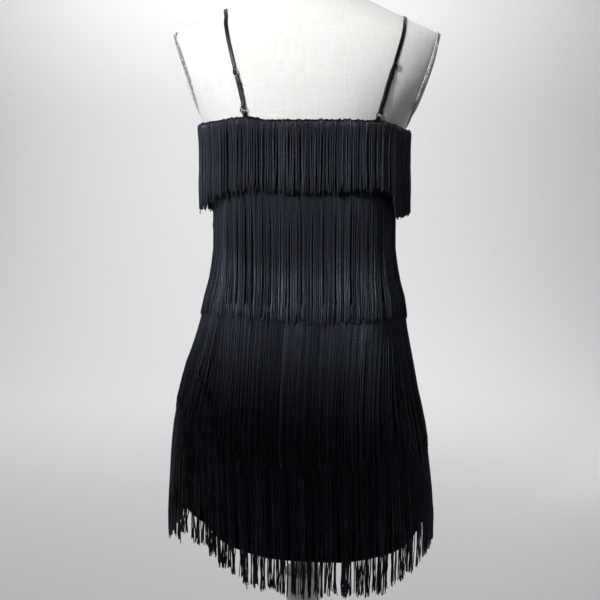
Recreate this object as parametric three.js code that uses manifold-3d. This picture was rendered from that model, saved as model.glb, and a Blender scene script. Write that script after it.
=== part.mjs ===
// Fringe mini dress on a limbless dress form, which stands on a pole and a round base.
// Millimetres, +Z up. The back of the dress faces -Y and its front +Y. The origin is on the
// floor, under the middle of the base.
import * as THREE from "three";
import { mergeVertices } from "three/addons/utils/BufferGeometryUtils.js";
import Module from "manifold-3d";

const wasm = await Module();
wasm.setup();

// Gaps between pieces
const SEAM = 0.3; // pieces that are sewn, clipped or set together
const FORM_GAP = 0.8; // from the form to the inside of the slip

// Slip of the dress: a front and a back panel, joined at the side seams.
const SLIP_WALL = 1.5;
const PANEL_COLUMNS = 18;
const OVAL_POWER = 2.25; // 2 is an ellipse, more is squarer

// Outer face of the slip from the top edge down. back and front are its depths from the side seams.
const SLIP_SECTIONS = [
  { z: 1130, centreX: 1, halfWidth: 150, back: 108, front: 122 },
  { z: 1100, centreX: 1, halfWidth: 145, back: 107, front: 126 },
  { z: 1072, centreX: 1, halfWidth: 137, back: 104, front: 126 },
  { z: 1048, centreX: 1, halfWidth: 131.5, back: 100, front: 116 },
  { z: 1038, centreX: 1, halfWidth: 130.3, back: 99, front: 112 },
  { z: 1010, centreX: 1, halfWidth: 129.3, back: 96.5, front: 104 },
  { z: 980, centreX: 0.5, halfWidth: 129.7, back: 95.5, front: 99 },
  { z: 950, centreX: 1, halfWidth: 132.5, back: 98, front: 98 },
  { z: 918, centreX: 1, halfWidth: 137.5, back: 103.5, front: 100 },
  { z: 884, centreX: 1, halfWidth: 144.5, back: 110.5, front: 104 },
  { z: 874, centreX: 1, halfWidth: 146.7, back: 112.5, front: 105.5 },
  { z: 835, centreX: -1.5, halfWidth: 154, back: 120, front: 111 },
  { z: 790, centreX: -4.5, halfWidth: 165.5, back: 128, front: 118 },
  { z: 745, centreX: -6.5, halfWidth: 176, back: 134, front: 125 },
  { z: 704, centreX: -8, halfWidth: 185, back: 138.5, front: 131 },
  { z: 694, centreX: -8, halfWidth: 187, back: 139.5, front: 132.5 },
  { z: 650, centreX: -6.5, halfWidth: 193.5, back: 142.5, front: 138 },
  { z: 600, centreX: -5, halfWidth: 198.5, back: 145.5, front: 142.5 },
  { z: 560, centreX: -4, halfWidth: 201.5, back: 147, front: 145.5 },
  { z: 520, centreX: -4, halfWidth: 204, back: 148.5, front: 147.5 },
];

// Heights of the slip hem and of the fringe tips round the dress. turn is in degrees from +X
// towards the front, so 90 is the middle of the front and 270 the middle of the back.
const EDGE_HEIGHTS = [
  { turn: 0, hem: 546, tips1: 1011, tips2: 852, tips3: 662, tips4: 506 },
  { turn: 45, hem: 543, tips1: 1004, tips2: 858, tips3: 660, tips4: 502 },
  { turn: 90, hem: 545, tips1: 1004, tips2: 860, tips3: 664, tips4: 502 },
  { turn: 135, hem: 545, tips1: 1006, tips2: 860, tips3: 674, tips4: 503 },
  { turn: 180, hem: 546, tips1: 1011, tips2: 857, tips3: 698, tips4: 505 },
  { turn: 209, hem: 577, tips1: 1018, tips2: 863, tips3: 696, tips4: 543 },
  { turn: 219, hem: 583, tips1: 1032, tips2: 865, tips3: 690, tips4: 543 },
  { turn: 230, hem: 570, tips1: 1037, tips2: 866, tips3: 683, tips4: 526 },
  { turn: 243, hem: 545, tips1: 1043, tips2: 865, tips3: 676, tips4: 504 },
  { turn: 257, hem: 533, tips1: 1037, tips2: 864, tips3: 669, tips4: 488 },
  { turn: 285, hem: 525, tips1: 1037, tips2: 860, tips3: 665, tips4: 480 },
  { turn: 307, hem: 528, tips1: 1039, tips2: 859, tips3: 663, tips4: 476 },
  { turn: 316, hem: 533, tips1: 1037, tips2: 859, tips3: 663, tips4: 486 },
  { turn: 326, hem: 550, tips1: 998, tips2: 859, tips3: 665, tips4: 497 },
  { turn: 345, hem: 556, tips1: 1001, tips2: 855, tips3: 667, tips4: 516 },
];

// Fringe tiers, each a narrow sewn strip with locks that hang from it.
const LOCKS_PER_TIER = 56;
const LOCK_SHARE = 0.84; // of the pitch that a lock fills at its root
const STRIP_HEIGHT = 8;
const STRIP_THICK = 2;
const STRIP_GAP = 0.6; // from the slip to the strip's corners; its flat runs come to SEAM
const FRINGE_TIERS = [
  { name: "fringe_tier_1", top: 1130, tips: "tips1", uneven: 4, rows: "free" },
  { name: "fringe_tier_2", top: 1047, tips: "tips2", uneven: 4, rows: "lying" },
  { name: "fringe_tier_3", top: 883, tips: "tips3", uneven: 7, rows: "lying" },
  { name: "fringe_tier_4", top: 703, tips: "tips4", uneven: 9, rows: "lying" },
];

// A lock below its root: the share of its length, how far its inner face stands off the slip,
// its thickness and its width as a share of the root's. The locks of the top tier hang free
// below the bust, and the others lie on the slip and pass over the next tier's strip.
const LOCK_ROWS = {
  free: [
    { drop: 0.3, stand: 2.4, thick: 2.4, width: 0.96 },
    { drop: 1, stand: 2, thick: 1.4, width: 0.7 },
  ],
  lying: [
    { drop: 0.4, stand: 2, thick: 2.4, width: 0.94 },
    { drop: 0.82, stand: 3.8, thick: 2.2, width: 0.88 },
    { drop: 1, stand: 4.2, thick: 1.4, width: 0.6 },
  ],
};
const LOCK_SWAY = 0.07; // sideways, as a share of the pitch

// Dress form. From FORM_HIP_FROM up to the top edge it fills the slip, FORM_GAP inside it.
const FORM_COLUMNS = 2 * PANEL_COLUMNS; // in line with the panels' columns
const FORM_HIP_FROM = 835;
const FORM_HIPS = [
  { z: 790, centreX: -4, halfWidth: 155.5, back: 121, front: 111 },
  { z: 730, centreX: -4, halfWidth: 154, back: 121, front: 110 },
  { z: 670, centreX: -3, halfWidth: 149, back: 117, front: 107 },
  { z: 612, centreX: -3, halfWidth: 143, back: 112, front: 104 },
  { z: 603, centreX: -3, halfWidth: 140, back: 109, front: 101 },
  { z: 600, centreX: -3, halfWidth: 134, back: 103, front: 95 },
];
const FORM_SHOULDERS = [
  { z: 1372, centreX: 6, halfWidth: 53, back: 50, front: 48 },
  { z: 1370, centreX: 6, halfWidth: 56, back: 53, front: 51 },
  { z: 1342, centreX: 6, halfWidth: 57, back: 55, front: 51 },
  { z: 1323, centreX: 6, halfWidth: 63, back: 58, front: 52 },
  { z: 1310, centreX: 5, halfWidth: 80, back: 61, front: 54 },
  { z: 1294, centreX: 5, halfWidth: 114, back: 66, front: 58 },
  { z: 1277, centreX: 5, halfWidth: 151, back: 73, front: 63 },
  { z: 1263, centreX: 5, halfWidth: 184, back: 80, front: 69 },
  { z: 1248, centreX: 5, halfWidth: 206, back: 88, front: 77 },
  { z: 1222, centreX: 5, halfWidth: 199, back: 98, front: 89 },
  { z: 1188, centreX: 4, halfWidth: 183, back: 105, front: 102 },
  { z: 1155, centreX: 2, halfWidth: 162, back: 107, front: 111 },
];

// Each armhole is a flat slanted face with a covered plate on it.
const ARMHOLE_LOW = { x: 149, z: 1138 }; // from the form's middle, lower edge of the face
const ARMHOLE_LEAN = THREE.MathUtils.degToRad(18.7);
const ARMHOLE_MIDDLE_X = 4;
const PLATE = { up: 63, halfHeight: 55, halfDepth: 44, thick: 3, edge: 1, segments: 13 };

// Straps of the dress, on the form's back, shoulders and chest. x runs straight from its
// place at the top edge by lean mm for each mm of height.
const STRAPS = [
  { side: "left", edgeX: -77, lean: -0.22, ringAt: 17, sliderAt: 66 },
  { side: "right", edgeX: 97, lean: 0.33, ringAt: 11, sliderAt: 79 },
];
const STRAP_WIDTH = 5.2;
const STRAP_THICK = 1;
const STRAP_LIFT = 1.1; // from the form to the middle of a ply that lies on it
const END_CLEAR = 0.6; // from the slip's edge to a band's end
const RING = { radius: 4.2, wire: 0.8, tubeSides: 6, segments: 16 };
const SLIDER = { width: 9.6, bar: 1, slotLong: 3, slotWide: 6.2, thick: 1, corner: 1.2 };
const FOLD_STEPS = 6;

// Lifts off the form: a band folded round the ring's wire, the ring itself, the upper ply of
// the doubled strap, and the slider, which lies on that ply and under the one on its middle bar.
const FOLD_RADIUS = RING.wire + SEAM + STRAP_THICK / 2;
const RING_LIFT = STRAP_LIFT + FOLD_RADIUS;
const UPPER_PLY_LIFT = STRAP_LIFT + STRAP_THICK + SEAM;
const PLY_TO_BAR = STRAP_THICK / 2 + SEAM + SLIDER.thick / 2;
const SLIDER_LIFT = UPPER_PLY_LIFT + PLY_TO_BAR;

// Stand of the form
const BASE = { radius: 180, height: 14, foot: 2, edge: 5, bossRadius: 46, bossHeight: 22, bossEdge: 3 };
const POLE = { radius: 27, top: 442, lip: 2.5, lipHeight: 6, lipEdge: 1, recess: 5 };
const ROD_RADIUS = 15;
const ROUND_SEGMENTS = 32;

const MATERIALS = {
  slip: new THREE.MeshStandardMaterial({ color: 0x0b0c10, roughness: 0.85, metalness: 0 }),
  fringe: new THREE.MeshStandardMaterial({ color: 0x111317, roughness: 0.5, metalness: 0 }),
  satin: new THREE.MeshStandardMaterial({ color: 0x121216, roughness: 0.35, metalness: 0 }),
  metal: new THREE.MeshStandardMaterial({ color: 0x2a2b2e, roughness: 0.25, metalness: 1 }),
  canvas: new THREE.MeshStandardMaterial({ color: 0xe6e2d8, roughness: 0.9, metalness: 0 }),
  paint: new THREE.MeshStandardMaterial({ color: 0xd9dadb, roughness: 0.4, metalness: 0 }),
  wood: new THREE.MeshStandardMaterial({ color: 0xb48a52, roughness: 0.55, metalness: 0 }),
};

const FULL_TURN = Math.PI * 2;
const mix = (a, b, share) => a + (b - a) * share;

// A closed surface from points, quads and triangles, as one indexed geometry.
class Surface {
  points = [];
  triangles = [];

  add(point) {
    this.points.push(point);
    return this.points.length - 1;
  }

  // Corners in turn, seen from outside.
  quad(a, b, c, d) {
    this.triangles.push(a, b, c, a, c, d);
  }

  triangle(a, b, c) {
    this.triangles.push(a, b, c);
  }

  geometry() {
    const made = new THREE.BufferGeometry().setFromPoints(this.points);
    made.setIndex(this.triangles);
    made.computeVertexNormals();
    return made;
  }
}

// Section at a height, straight between the rows of a table that runs downwards.
function sectionAt(sections, z) {
  if (z >= sections[0].z) return { ...sections[0], z };
  const below = sections.findIndex((row) => row.z <= z);
  if (below < 0) return { ...sections.at(-1), z };
  const [upper, lower] = [sections[below - 1], sections[below]];
  const share = (upper.z - z) / (upper.z - lower.z);
  return {
    z,
    centreX: mix(upper.centreX, lower.centreX, share),
    halfWidth: mix(upper.halfWidth, lower.halfWidth, share),
    back: mix(upper.back, lower.back, share),
    front: mix(upper.front, lower.front, share),
  };
}

// Point of a rounded oval section, moved out from it.
function ovalPoint(section, angle, out = 0) {
  const round = (v) => Math.sign(v) * Math.abs(v) ** (2 / OVAL_POWER);
  const depth = Math.sin(angle) < 0 ? section.back : section.front;
  const x = section.centreX + (section.halfWidth + out) * round(Math.cos(angle));
  const y = (depth + out) * round(Math.sin(angle));
  return new THREE.Vector3(x, y, section.z);
}

// Angles that part the front half (0) and the back half (1) of the hem into even lengths.
const HALF_STEPS = 180;
const HALF_LENGTHS = [0, 1].map((half) => {
  const hem = SLIP_SECTIONS.at(-1);
  const lengths = [0];
  for (let i = 1; i <= HALF_STEPS; i++) {
    const from = ovalPoint(hem, Math.PI * (half + (i - 1) / HALF_STEPS));
    const to = ovalPoint(hem, Math.PI * (half + i / HALF_STEPS));
    lengths.push(lengths[i - 1] + from.distanceTo(to));
  }
  return lengths;
});

// place is 0 to 1 round the front and 1 to 2 round the back.
function angleAt(place) {
  const round = ((place % 2) + 2) % 2;
  const half = Math.floor(round);
  const lengths = HALF_LENGTHS[half];
  const wanted = (round - half) * lengths.at(-1);
  const after = Math.max(1, lengths.findIndex((length) => length >= wanted));
  const share = (wanted - lengths[after - 1]) / (lengths[after] - lengths[after - 1]);
  return Math.PI * (half + (after - 1 + share) / HALF_STEPS);
}

// Height of an edge at an angle, smooth between the rows of EDGE_HEIGHTS.
function edgeHeight(edge, angle) {
  const { euclideanModulo, radToDeg, smoothstep } = THREE.MathUtils;
  const turn = euclideanModulo(radToDeg(angle), 360);
  const row = EDGE_HEIGHTS.findLast((candidate) => candidate.turn <= turn);
  const next = EDGE_HEIGHTS.find((candidate) => candidate.turn > turn) ?? EDGE_HEIGHTS[0];
  const step = euclideanModulo(next.turn - row.turn, 360);
  return mix(row[edge], next[edge], smoothstep((turn - row.turn) / step, 0, 1));
}

// One slip panel: an outer and an inner grid of points, joined round its four edges.
const LAST_PLACE = 1 - 1e-9; // of a half, just short of the next half
function slipPanel(half) {
  const surface = new Surface();
  const seamSide = half === 0 ? SEAM / 2 : -SEAM / 2;
  const lowest = Math.max(...EDGE_HEIGHTS.map((row) => row.hem));
  const levels = SLIP_SECTIONS.map((row) => row.z).filter((z) => z > lowest);
  const grid = (out) =>
    [...levels, "hem"].map((level) =>
      Array.from({ length: PANEL_COLUMNS + 1 }, (_, column) => {
        const angle = angleAt(half + Math.min(column / PANEL_COLUMNS, LAST_PLACE));
        const z = level === "hem" ? edgeHeight("hem", angle) : level;
        const point = ovalPoint(sectionAt(SLIP_SECTIONS, z), angle, out);
        if (column === 0 || column === PANEL_COLUMNS) point.y = seamSide;
        return surface.add(point);
      }),
    );
  const outer = grid(0);
  const inner = grid(-SLIP_WALL);
  const last = outer.length - 1;
  for (let row = 0; row < last; row++) {
    for (let column = 0; column < PANEL_COLUMNS; column++) {
      const next = column + 1;
      surface.quad(outer[row][column], outer[row + 1][column], outer[row + 1][next], outer[row][next]);
      surface.quad(inner[row][next], inner[row + 1][next], inner[row + 1][column], inner[row][column]);
    }
    const end = PANEL_COLUMNS;
    surface.quad(inner[row][0], inner[row + 1][0], outer[row + 1][0], outer[row][0]);
    surface.quad(outer[row][end], outer[row + 1][end], inner[row + 1][end], inner[row][end]);
  }
  for (let column = 0; column < PANEL_COLUMNS; column++) {
    const next = column + 1;
    surface.quad(inner[0][column], outer[0][column], outer[0][next], inner[0][next]);
    surface.quad(outer[last][column], inner[last][column], inner[last][next], outer[last][next]);
  }
  return surface.geometry();
}

// Section that a strand follows when it hangs from a height: plumb below what stands out furthest.
function hangingSection(from, z) {
  const passed = SLIP_SECTIONS.filter((row) => row.z < from && row.z > z);
  const rows = [sectionAt(SLIP_SECTIONS, from), ...passed, sectionAt(SLIP_SECTIONS, z)];
  const right = Math.max(...rows.map((row) => row.centreX + row.halfWidth));
  const left = Math.min(...rows.map((row) => row.centreX - row.halfWidth));
  return {
    z,
    centreX: (left + right) / 2,
    halfWidth: (right - left) / 2,
    back: Math.max(...rows.map((row) => row.back)),
    front: Math.max(...rows.map((row) => row.front)),
  };
}

// A repeating spread from -1 to 1, so that neighbouring locks differ. Each tier, and the sway
// of its locks beside their length, starts from a seed of its own.
const SPREAD_TURNS = { quick: 2.4, slow: 1.13 };
const TIER_SEED = 1.7;
const SWAY_SEED = 5;
const spread = (lock, seed) =>
  Math.sin(lock * SPREAD_TURNS.quick + seed) * Math.cos(lock * SPREAD_TURNS.slow + seed * 2);

// A tier of fringe: a closed strip round the slip, whose underside runs on into locks.
function fringeTier(tier, seed) {
  const surface = new Surface();
  const pitch = 2 / LOCKS_PER_TIER;
  const bottom = tier.top - STRIP_HEIGHT;
  const corners = [
    { z: tier.top, out: STRIP_GAP + STRIP_THICK },
    { z: tier.top, out: STRIP_GAP },
    { z: bottom, out: STRIP_GAP },
    { z: bottom, out: STRIP_GAP + STRIP_THICK },
  ];
  // Each station has the strip's four corners: outer top, inner top, inner bottom, outer bottom.
  const station = (place) =>
    corners.map(({ z, out }) =>
      surface.add(ovalPoint(sectionAt(SLIP_SECTIONS, z), angleAt(place), out)),
    );
  const stations = [];
  for (let lock = 0; lock < LOCKS_PER_TIER; lock++) {
    const middle = (lock + 0.5) * pitch;
    const reach = (pitch * LOCK_SHARE) / 2;
    stations.push(station(middle - reach), station(middle + reach));
  }
  stations.forEach((here, i) => {
    const next = stations[(i + 1) % stations.length];
    surface.quad(here[0], next[0], next[1], here[1]);
    surface.quad(here[1], next[1], next[2], here[2]);
    surface.quad(here[3], next[3], next[0], here[0]);
    const isLock = i % 2 === 0;
    if (!isLock) surface.quad(here[2], next[2], next[3], here[3]);
    if (isLock) hangLock(surface, tier, seed, i / 2, [here[2], next[2], next[3], here[3]]);
  });
  return surface.geometry();
}

// One lock, from its root's four corners down to a blunt tip.
function hangLock(surface, tier, seed, lock, root) {
  const pitch = 2 / LOCKS_PER_TIER;
  const middle = (lock + 0.5) * pitch;
  const bottom = tier.top - STRIP_HEIGHT;
  const tip = edgeHeight(tier.tips, angleAt(middle)) + tier.uneven * spread(lock, seed);
  let above = root;
  for (const row of LOCK_ROWS[tier.rows]) {
    const z = mix(bottom, tip, row.drop);
    const section = hangingSection(bottom, z);
    const place = middle + pitch * LOCK_SWAY * row.drop * spread(lock, seed + SWAY_SEED);
    const reach = (pitch * LOCK_SHARE * row.width) / 2;
    const corner = (side, out) => surface.add(ovalPoint(section, angleAt(place + side * reach), out));
    const here = [
      corner(-1, row.stand),
      corner(1, row.stand),
      corner(1, row.stand + row.thick),
      corner(-1, row.stand + row.thick),
    ];
    for (let k = 0; k < here.length; k++) {
      const after = (k + 1) % here.length;
      surface.quad(above[k], above[after], here[after], here[k]);
    }
    above = here;
  }
  surface.quad(...above);
}

// Closed loft through rings of points that run upwards, each ring counter-clockwise from above.
function loft(rings) {
  const surface = new Surface();
  const placed = rings.map((ring) => ring.map((point) => surface.add(point)));
  const count = rings[0].length;
  for (let row = 0; row + 1 < rings.length; row++)
    for (let k = 0; k < count; k++) {
      const next = (k + 1) % count;
      surface.quad(placed[row][k], placed[row][next], placed[row + 1][next], placed[row + 1][k]);
    }
  const middleOf = (ring) =>
    ring.reduce((sum, point) => sum.add(point), new THREE.Vector3()).divideScalar(count);
  const low = surface.add(middleOf(rings[0]));
  const high = surface.add(middleOf(rings.at(-1)));
  for (let k = 0; k < count; k++) {
    const next = (k + 1) % count;
    surface.triangle(low, placed[0][next], placed[0][k]);
    surface.triangle(high, placed.at(-1)[k], placed.at(-1)[next]);
  }
  return surface.geometry();
}

// A geometry as a solid that can be cut, and back.
function solidOf(geometry) {
  const bare = geometry.clone();
  bare.deleteAttribute("normal");
  bare.deleteAttribute("uv");
  const merged = mergeVertices(bare, 1e-4);
  return new wasm.Manifold(
    new wasm.Mesh({
      numProp: 3,
      vertProperties: new Float32Array(merged.attributes.position.array),
      triVerts: new Uint32Array(merged.index.array),
    }),
  );
}

function geometryOf(solid) {
  const mesh = solid.getMesh();
  const made = new THREE.BufferGeometry();
  made.setAttribute("position", new THREE.BufferAttribute(mesh.vertProperties, 3));
  made.setIndex(new THREE.BufferAttribute(mesh.triVerts, 1));
  made.computeVertexNormals();
  return made;
}

// All sections of the form, from the neck down.
const inSlip = SLIP_WALL + FORM_GAP;
const FORM_SECTIONS = [
  ...FORM_SHOULDERS,
  ...SLIP_SECTIONS.filter((row) => row.z >= FORM_HIP_FROM).map((row) => ({
    ...row,
    halfWidth: row.halfWidth - inSlip,
    back: row.back - inSlip,
    front: row.front - inSlip,
  })),
  ...FORM_HIPS,
];

// A frame on an armhole face: x points out of the form and z up along the face.
function armholeFrame(side) {
  const frame = new THREE.Matrix4().makeRotationY(side * ARMHOLE_LEAN);
  frame.setPosition(ARMHOLE_MIDDLE_X + side * ARMHOLE_LOW.x, 0, ARMHOLE_LOW.z);
  return frame;
}

// Torso: lofted, with the two armhole faces cut flat.
function torso() {
  const rings = [...FORM_SECTIONS].reverse().map((section) =>
    Array.from({ length: FORM_COLUMNS }, (_, k) => ovalPoint(section, angleAt(k / PANEL_COLUMNS))),
  );
  const cut = { out: 80, deep: 300, up: 190 };
  return geometryOf(
    [-1, 1].reduce((solid, side) => {
      const block = new THREE.BoxGeometry(cut.out, cut.deep, cut.up);
      block.translate((side * cut.out) / 2, 0, cut.up / 2);
      block.applyMatrix4(armholeFrame(side));
      return solid.subtract(solidOf(block));
    }, solidOf(loft(rings))),
  );
}

// Covered plate that lies on an armhole face.
function armholePlate() {
  const outline = new THREE.Shape();
  outline.absellipse(0, 0, PLATE.halfDepth - PLATE.edge, PLATE.halfHeight - PLATE.edge, 0, FULL_TURN);
  const plate = new THREE.ExtrudeGeometry(outline, {
    depth: PLATE.thick - 2 * PLATE.edge,
    curveSegments: PLATE.segments,
    bevelSize: PLATE.edge,
    bevelThickness: PLATE.edge,
    bevelSegments: 1,
  });
  return plate.translate(0, 0, PLATE.edge + SEAM);
}

// Below 0 inside the form, above 0 outside it.
function formValue(x, y, z) {
  if (z > FORM_SECTIONS[0].z) return 1;
  const section = sectionAt(FORM_SECTIONS, z);
  const depth = y < 0 ? section.back : section.front;
  const across = Math.abs((x - section.centreX) / section.halfWidth) ** OVAL_POWER;
  return across + Math.abs(y / depth) ** OVAL_POWER - 1;
}

// The line that a strap follows on the form, from the back edge of the slip over the shoulder
// to the front edge. It is found by rays from the middle of the chest.
const LINE = { hubZ: 1150, rays: 1600, from: -0.25, near: 10, far: 260, close: 1e-4, keepEvery: 20 };
const LINE_DIVISIONS = 800;
function strapLine(strap) {
  const edgeZ = SLIP_SECTIONS[0].z;
  const found = [];
  for (let i = 0; i <= LINE.rays; i++) {
    const angle = mix(LINE.from, Math.PI - LINE.from, i / LINE.rays);
    const at = (reach) => {
      const z = LINE.hubZ + reach * Math.sin(angle);
      return new THREE.Vector3(strap.edgeX + strap.lean * (z - edgeZ), -reach * Math.cos(angle), z);
    };
    let [near, far] = [LINE.near, LINE.far];
    while (far - near > LINE.close) {
      const middle = (near + far) / 2;
      if (formValue(...at(middle)) < 0) near = middle;
      else far = middle;
    }
    if (at(near).z >= edgeZ) found.push(at(near));
  }
  const last = found.length - 1;
  const curve = new THREE.CatmullRomCurve3(
    found.filter((_, i) => i === last || (i % LINE.keepEvery === 0 && last - i > LINE.keepEvery / 2)),
  );
  curve.arcLengthDivisions = LINE_DIVISIONS;
  return { curve, length: curve.getLength() };
}

// Place, way along, way across and way out of the form at a length along a strap line.
const SLOPE_STEP = 5;
function frameOn(line, along) {
  const share = THREE.MathUtils.clamp(along / line.length, 0, 1);
  const place = line.curve.getPointAt(share);
  const way = line.curve.getTangentAt(share);
  const slope = (axis) => {
    const step = new THREE.Vector3().setComponent(axis, SLOPE_STEP);
    return formValue(...place.clone().add(step)) - formValue(...place.clone().sub(step));
  };
  const out = new THREE.Vector3(slope(0), slope(1), slope(2));
  out.addScaledVector(way, -out.dot(way)).normalize();
  const across = new THREE.Vector3().crossVectors(way, out).normalize();
  place.addScaledVector(way, along - share * line.length);
  return { place, way, across, out };
}

// A flat band of cloth swept along stops on a strap line. A stop says how far along it is and
// how far its middle is lifted off the form.
const BAND_STEP = 10;
const BAND_EDGE = 0.4; // how far the band's rounded edge reaches in
function band(line, stops) {
  const path = [];
  stops.forEach((stop, i) => {
    const before = stops[i - 1] ?? stop;
    const steps = Math.max(1, Math.ceil(Math.abs(stop.along - before.along) / BAND_STEP));
    for (let k = i === 0 ? steps : 1; k <= steps; k++) {
      const frame = frameOn(line, mix(before.along, stop.along, k / steps));
      frame.place.addScaledVector(frame.out, mix(before.lift, stop.lift, k / steps));
      path.push(frame);
    }
  });
  const half = { across: STRAP_WIDTH / 2, thick: STRAP_THICK / 2 };
  const section = [
    [-half.across, 0],
    [-half.across + BAND_EDGE, half.thick],
    [half.across - BAND_EDGE, half.thick],
    [half.across, 0],
    [half.across - BAND_EDGE, -half.thick],
    [-half.across + BAND_EDGE, -half.thick],
  ];
  const rings = path.map((frame, i) => {
    const before = path[Math.max(i - 1, 0)].place;
    const after = path[Math.min(i + 1, path.length - 1)].place;
    const way = after.clone().sub(before).normalize();
    const out = new THREE.Vector3().crossVectors(frame.across, way).normalize();
    return section.map(([across, thick]) =>
      frame.place.clone().addScaledVector(frame.across, across).addScaledVector(out, thick),
    );
  });
  return loft(rings);
}

// Stops of a half turn round the ring's wire. towards is 1 for a fold that bulges along the line.
function foldStops(middle, towards) {
  return Array.from({ length: FOLD_STEPS + 1 }, (_, k) => {
    const turn = (Math.PI * k) / FOLD_STEPS;
    return {
      along: middle + towards * FOLD_RADIUS * Math.sin(turn),
      lift: RING_LIFT + FOLD_RADIUS * Math.cos(turn),
    };
  });
}

// Where a fold's middle lies from the ring's middle: the ring is lower at the band's edges.
const FOLD_AT = Math.sqrt(RING.radius ** 2 - (STRAP_WIDTH / 2) ** 2);
const FOLD_TOP = RING_LIFT + FOLD_RADIUS;

// The strap: from the front edge over the shoulder, over the slider's middle bar, round the
// ring and back up under the slider. WEAVE has its turning points, in mm along the line: from
// the slider's end bars where it comes off the form, dips and levels out, from the middle bar
// where it crosses, and from the fold where it starts and ends its climb to the ring.
const WEAVE = { leave: 4, rise: 0.8, dip: 0.4, level: 0.9, cross: 0.55, climb: 6, crest: 2.4, end: 2 };
const WEAVE_EASE = 0.1; // how much lower the ply runs where it dips under an end bar
function strapBand(strap, line) {
  const slider = strap.sliderAt;
  const endBar = SLIDER.bar + SLIDER.slotLong;
  const under = UPPER_PLY_LIFT;
  const over = SLIDER_LIFT + PLY_TO_BAR;
  const fold = strap.ringAt + FOLD_AT;
  return band(line, [
    { along: line.length - endGap(strap), lift: STRAP_LIFT },
    { along: slider + endBar + WEAVE.leave, lift: STRAP_LIFT },
    { along: slider + endBar + WEAVE.rise, lift: under - 2 * WEAVE_EASE },
    { along: slider + endBar - WEAVE.dip, lift: under - WEAVE_EASE },
    { along: slider + WEAVE.cross, lift: over },
    { along: slider - WEAVE.cross, lift: over },
    { along: slider - endBar + WEAVE.dip, lift: under - WEAVE_EASE },
    { along: slider - endBar - WEAVE.level, lift: under },
    { along: fold + WEAVE.climb, lift: under },
    { along: fold + WEAVE.crest, lift: FOLD_TOP },
    ...foldStops(fold, -1),
    { along: slider - WEAVE.end, lift: STRAP_LIFT },
  ]);
}

// The tab: a loop of band whose two ends stand on the back edge of the slip.
const TAB = { crest: 3, endLift: 2.4 }; // crest is how far before the fold it is at its highest
function tabBand(strap, line) {
  const fold = strap.ringAt - FOLD_AT;
  return band(line, [
    { along: endGap(strap), lift: TAB.endLift },
    { along: fold - TAB.crest, lift: FOLD_TOP },
    ...foldStops(fold, 1),
    { along: endGap(strap), lift: STRAP_LIFT },
  ]);
}

// How far a slanted end's middle stays off the slip's edge, so that its lower corner clears it.
const endGap = (strap) => END_CLEAR + (Math.abs(strap.lean) * STRAP_WIDTH) / 2;

// Flat rectangular slider with two slots, and the bar between them that carries the strap.
function sliderPlate() {
  const long = 3 * SLIDER.bar + 2 * SLIDER.slotLong;
  const outline = roundedRectangle(SLIDER.width, long, SLIDER.corner);
  for (const side of [-1, 1]) {
    const middle = (side * (SLIDER.bar + SLIDER.slotLong)) / 2;
    const [right, top] = [SLIDER.slotWide / 2, SLIDER.slotLong / 2];
    const slot = new THREE.Path();
    slot.moveTo(-right, middle - top);
    slot.lineTo(-right, middle + top);
    slot.lineTo(right, middle + top);
    slot.lineTo(right, middle - top);
    slot.closePath();
    outline.holes.push(slot);
  }
  const options = { depth: SLIDER.thick, bevelEnabled: false, curveSegments: 3 };
  return new THREE.ExtrudeGeometry(outline, options).translate(0, 0, SLIDER_LIFT - SLIDER.thick / 2);
}

function roundedRectangle(width, height, corner) {
  const [right, top] = [width / 2, height / 2];
  const shape = new THREE.Shape();
  shape.moveTo(corner - right, -top);
  shape.lineTo(right - corner, -top);
  shape.absarc(right - corner, corner - top, corner, -Math.PI / 2, 0);
  shape.lineTo(right, top - corner);
  shape.absarc(right - corner, top - corner, corner, 0, Math.PI / 2);
  shape.lineTo(corner - right, top);
  shape.absarc(corner - right, top - corner, corner, Math.PI / 2, Math.PI);
  shape.lineTo(-right, corner - top);
  shape.absarc(corner - right, corner - top, corner, Math.PI, 1.5 * Math.PI);
  return shape;
}

// Solid turned from [radius, height] pairs that start and end on the axis.
function turned(profile) {
  const points = profile.map(([radius, z]) => new THREE.Vector2(radius, z));
  return new THREE.LatheGeometry(points, ROUND_SEGMENTS).rotateX(Math.PI / 2);
}

function basePlate() {
  const { radius, height, foot, edge, bossRadius, bossHeight, bossEdge } = BASE;
  return turned([
    [0, 0],
    [radius - foot, 0],
    [radius, foot],
    [radius, height - edge],
    [radius - edge / 3, height - edge / 3],
    [radius - edge, height],
    [bossRadius, height],
    [bossRadius - bossEdge, bossHeight],
    [0, bossHeight],
  ]);
}

// Tube of the stand: its mouth has a lip and a shallow seat for the rod.
function poleTube() {
  const { radius, top, lip, lipHeight, lipEdge, recess } = POLE;
  return turned([
    [0, BASE.bossHeight + SEAM],
    [radius, BASE.bossHeight + SEAM],
    [radius, top - lipHeight],
    [radius + lip, top - lipHeight + lipEdge],
    [radius + lip, top - lipEdge],
    [radius + lip - lipEdge, top],
    [ROD_RADIUS + SEAM, top],
    [ROD_RADIUS + SEAM, top - recess],
    [0, top - recess],
  ]);
}

function formRod() {
  const low = POLE.top - POLE.recess + SEAM;
  const high = FORM_SECTIONS.at(-1).z - SEAM;
  return turned([
    [0, low],
    [ROD_RADIUS, low],
    [ROD_RADIUS, high],
    [0, high],
  ]);
}

function piece(name, geometry, material) {
  const mesh = new THREE.Mesh(geometry, material.clone());
  mesh.name = name;
  return mesh;
}

function dress() {
  const group = new THREE.Group();
  group.add(piece("dress_front", slipPanel(0), MATERIALS.slip));
  group.add(piece("dress_back", slipPanel(1), MATERIALS.slip));
  FRINGE_TIERS.forEach((tier, i) => {
    group.add(piece(tier.name, fringeTier(tier, i * TIER_SEED), MATERIALS.fringe));
  });
  for (const strap of STRAPS) group.add(strapSet(strap));
  return group;
}

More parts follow.
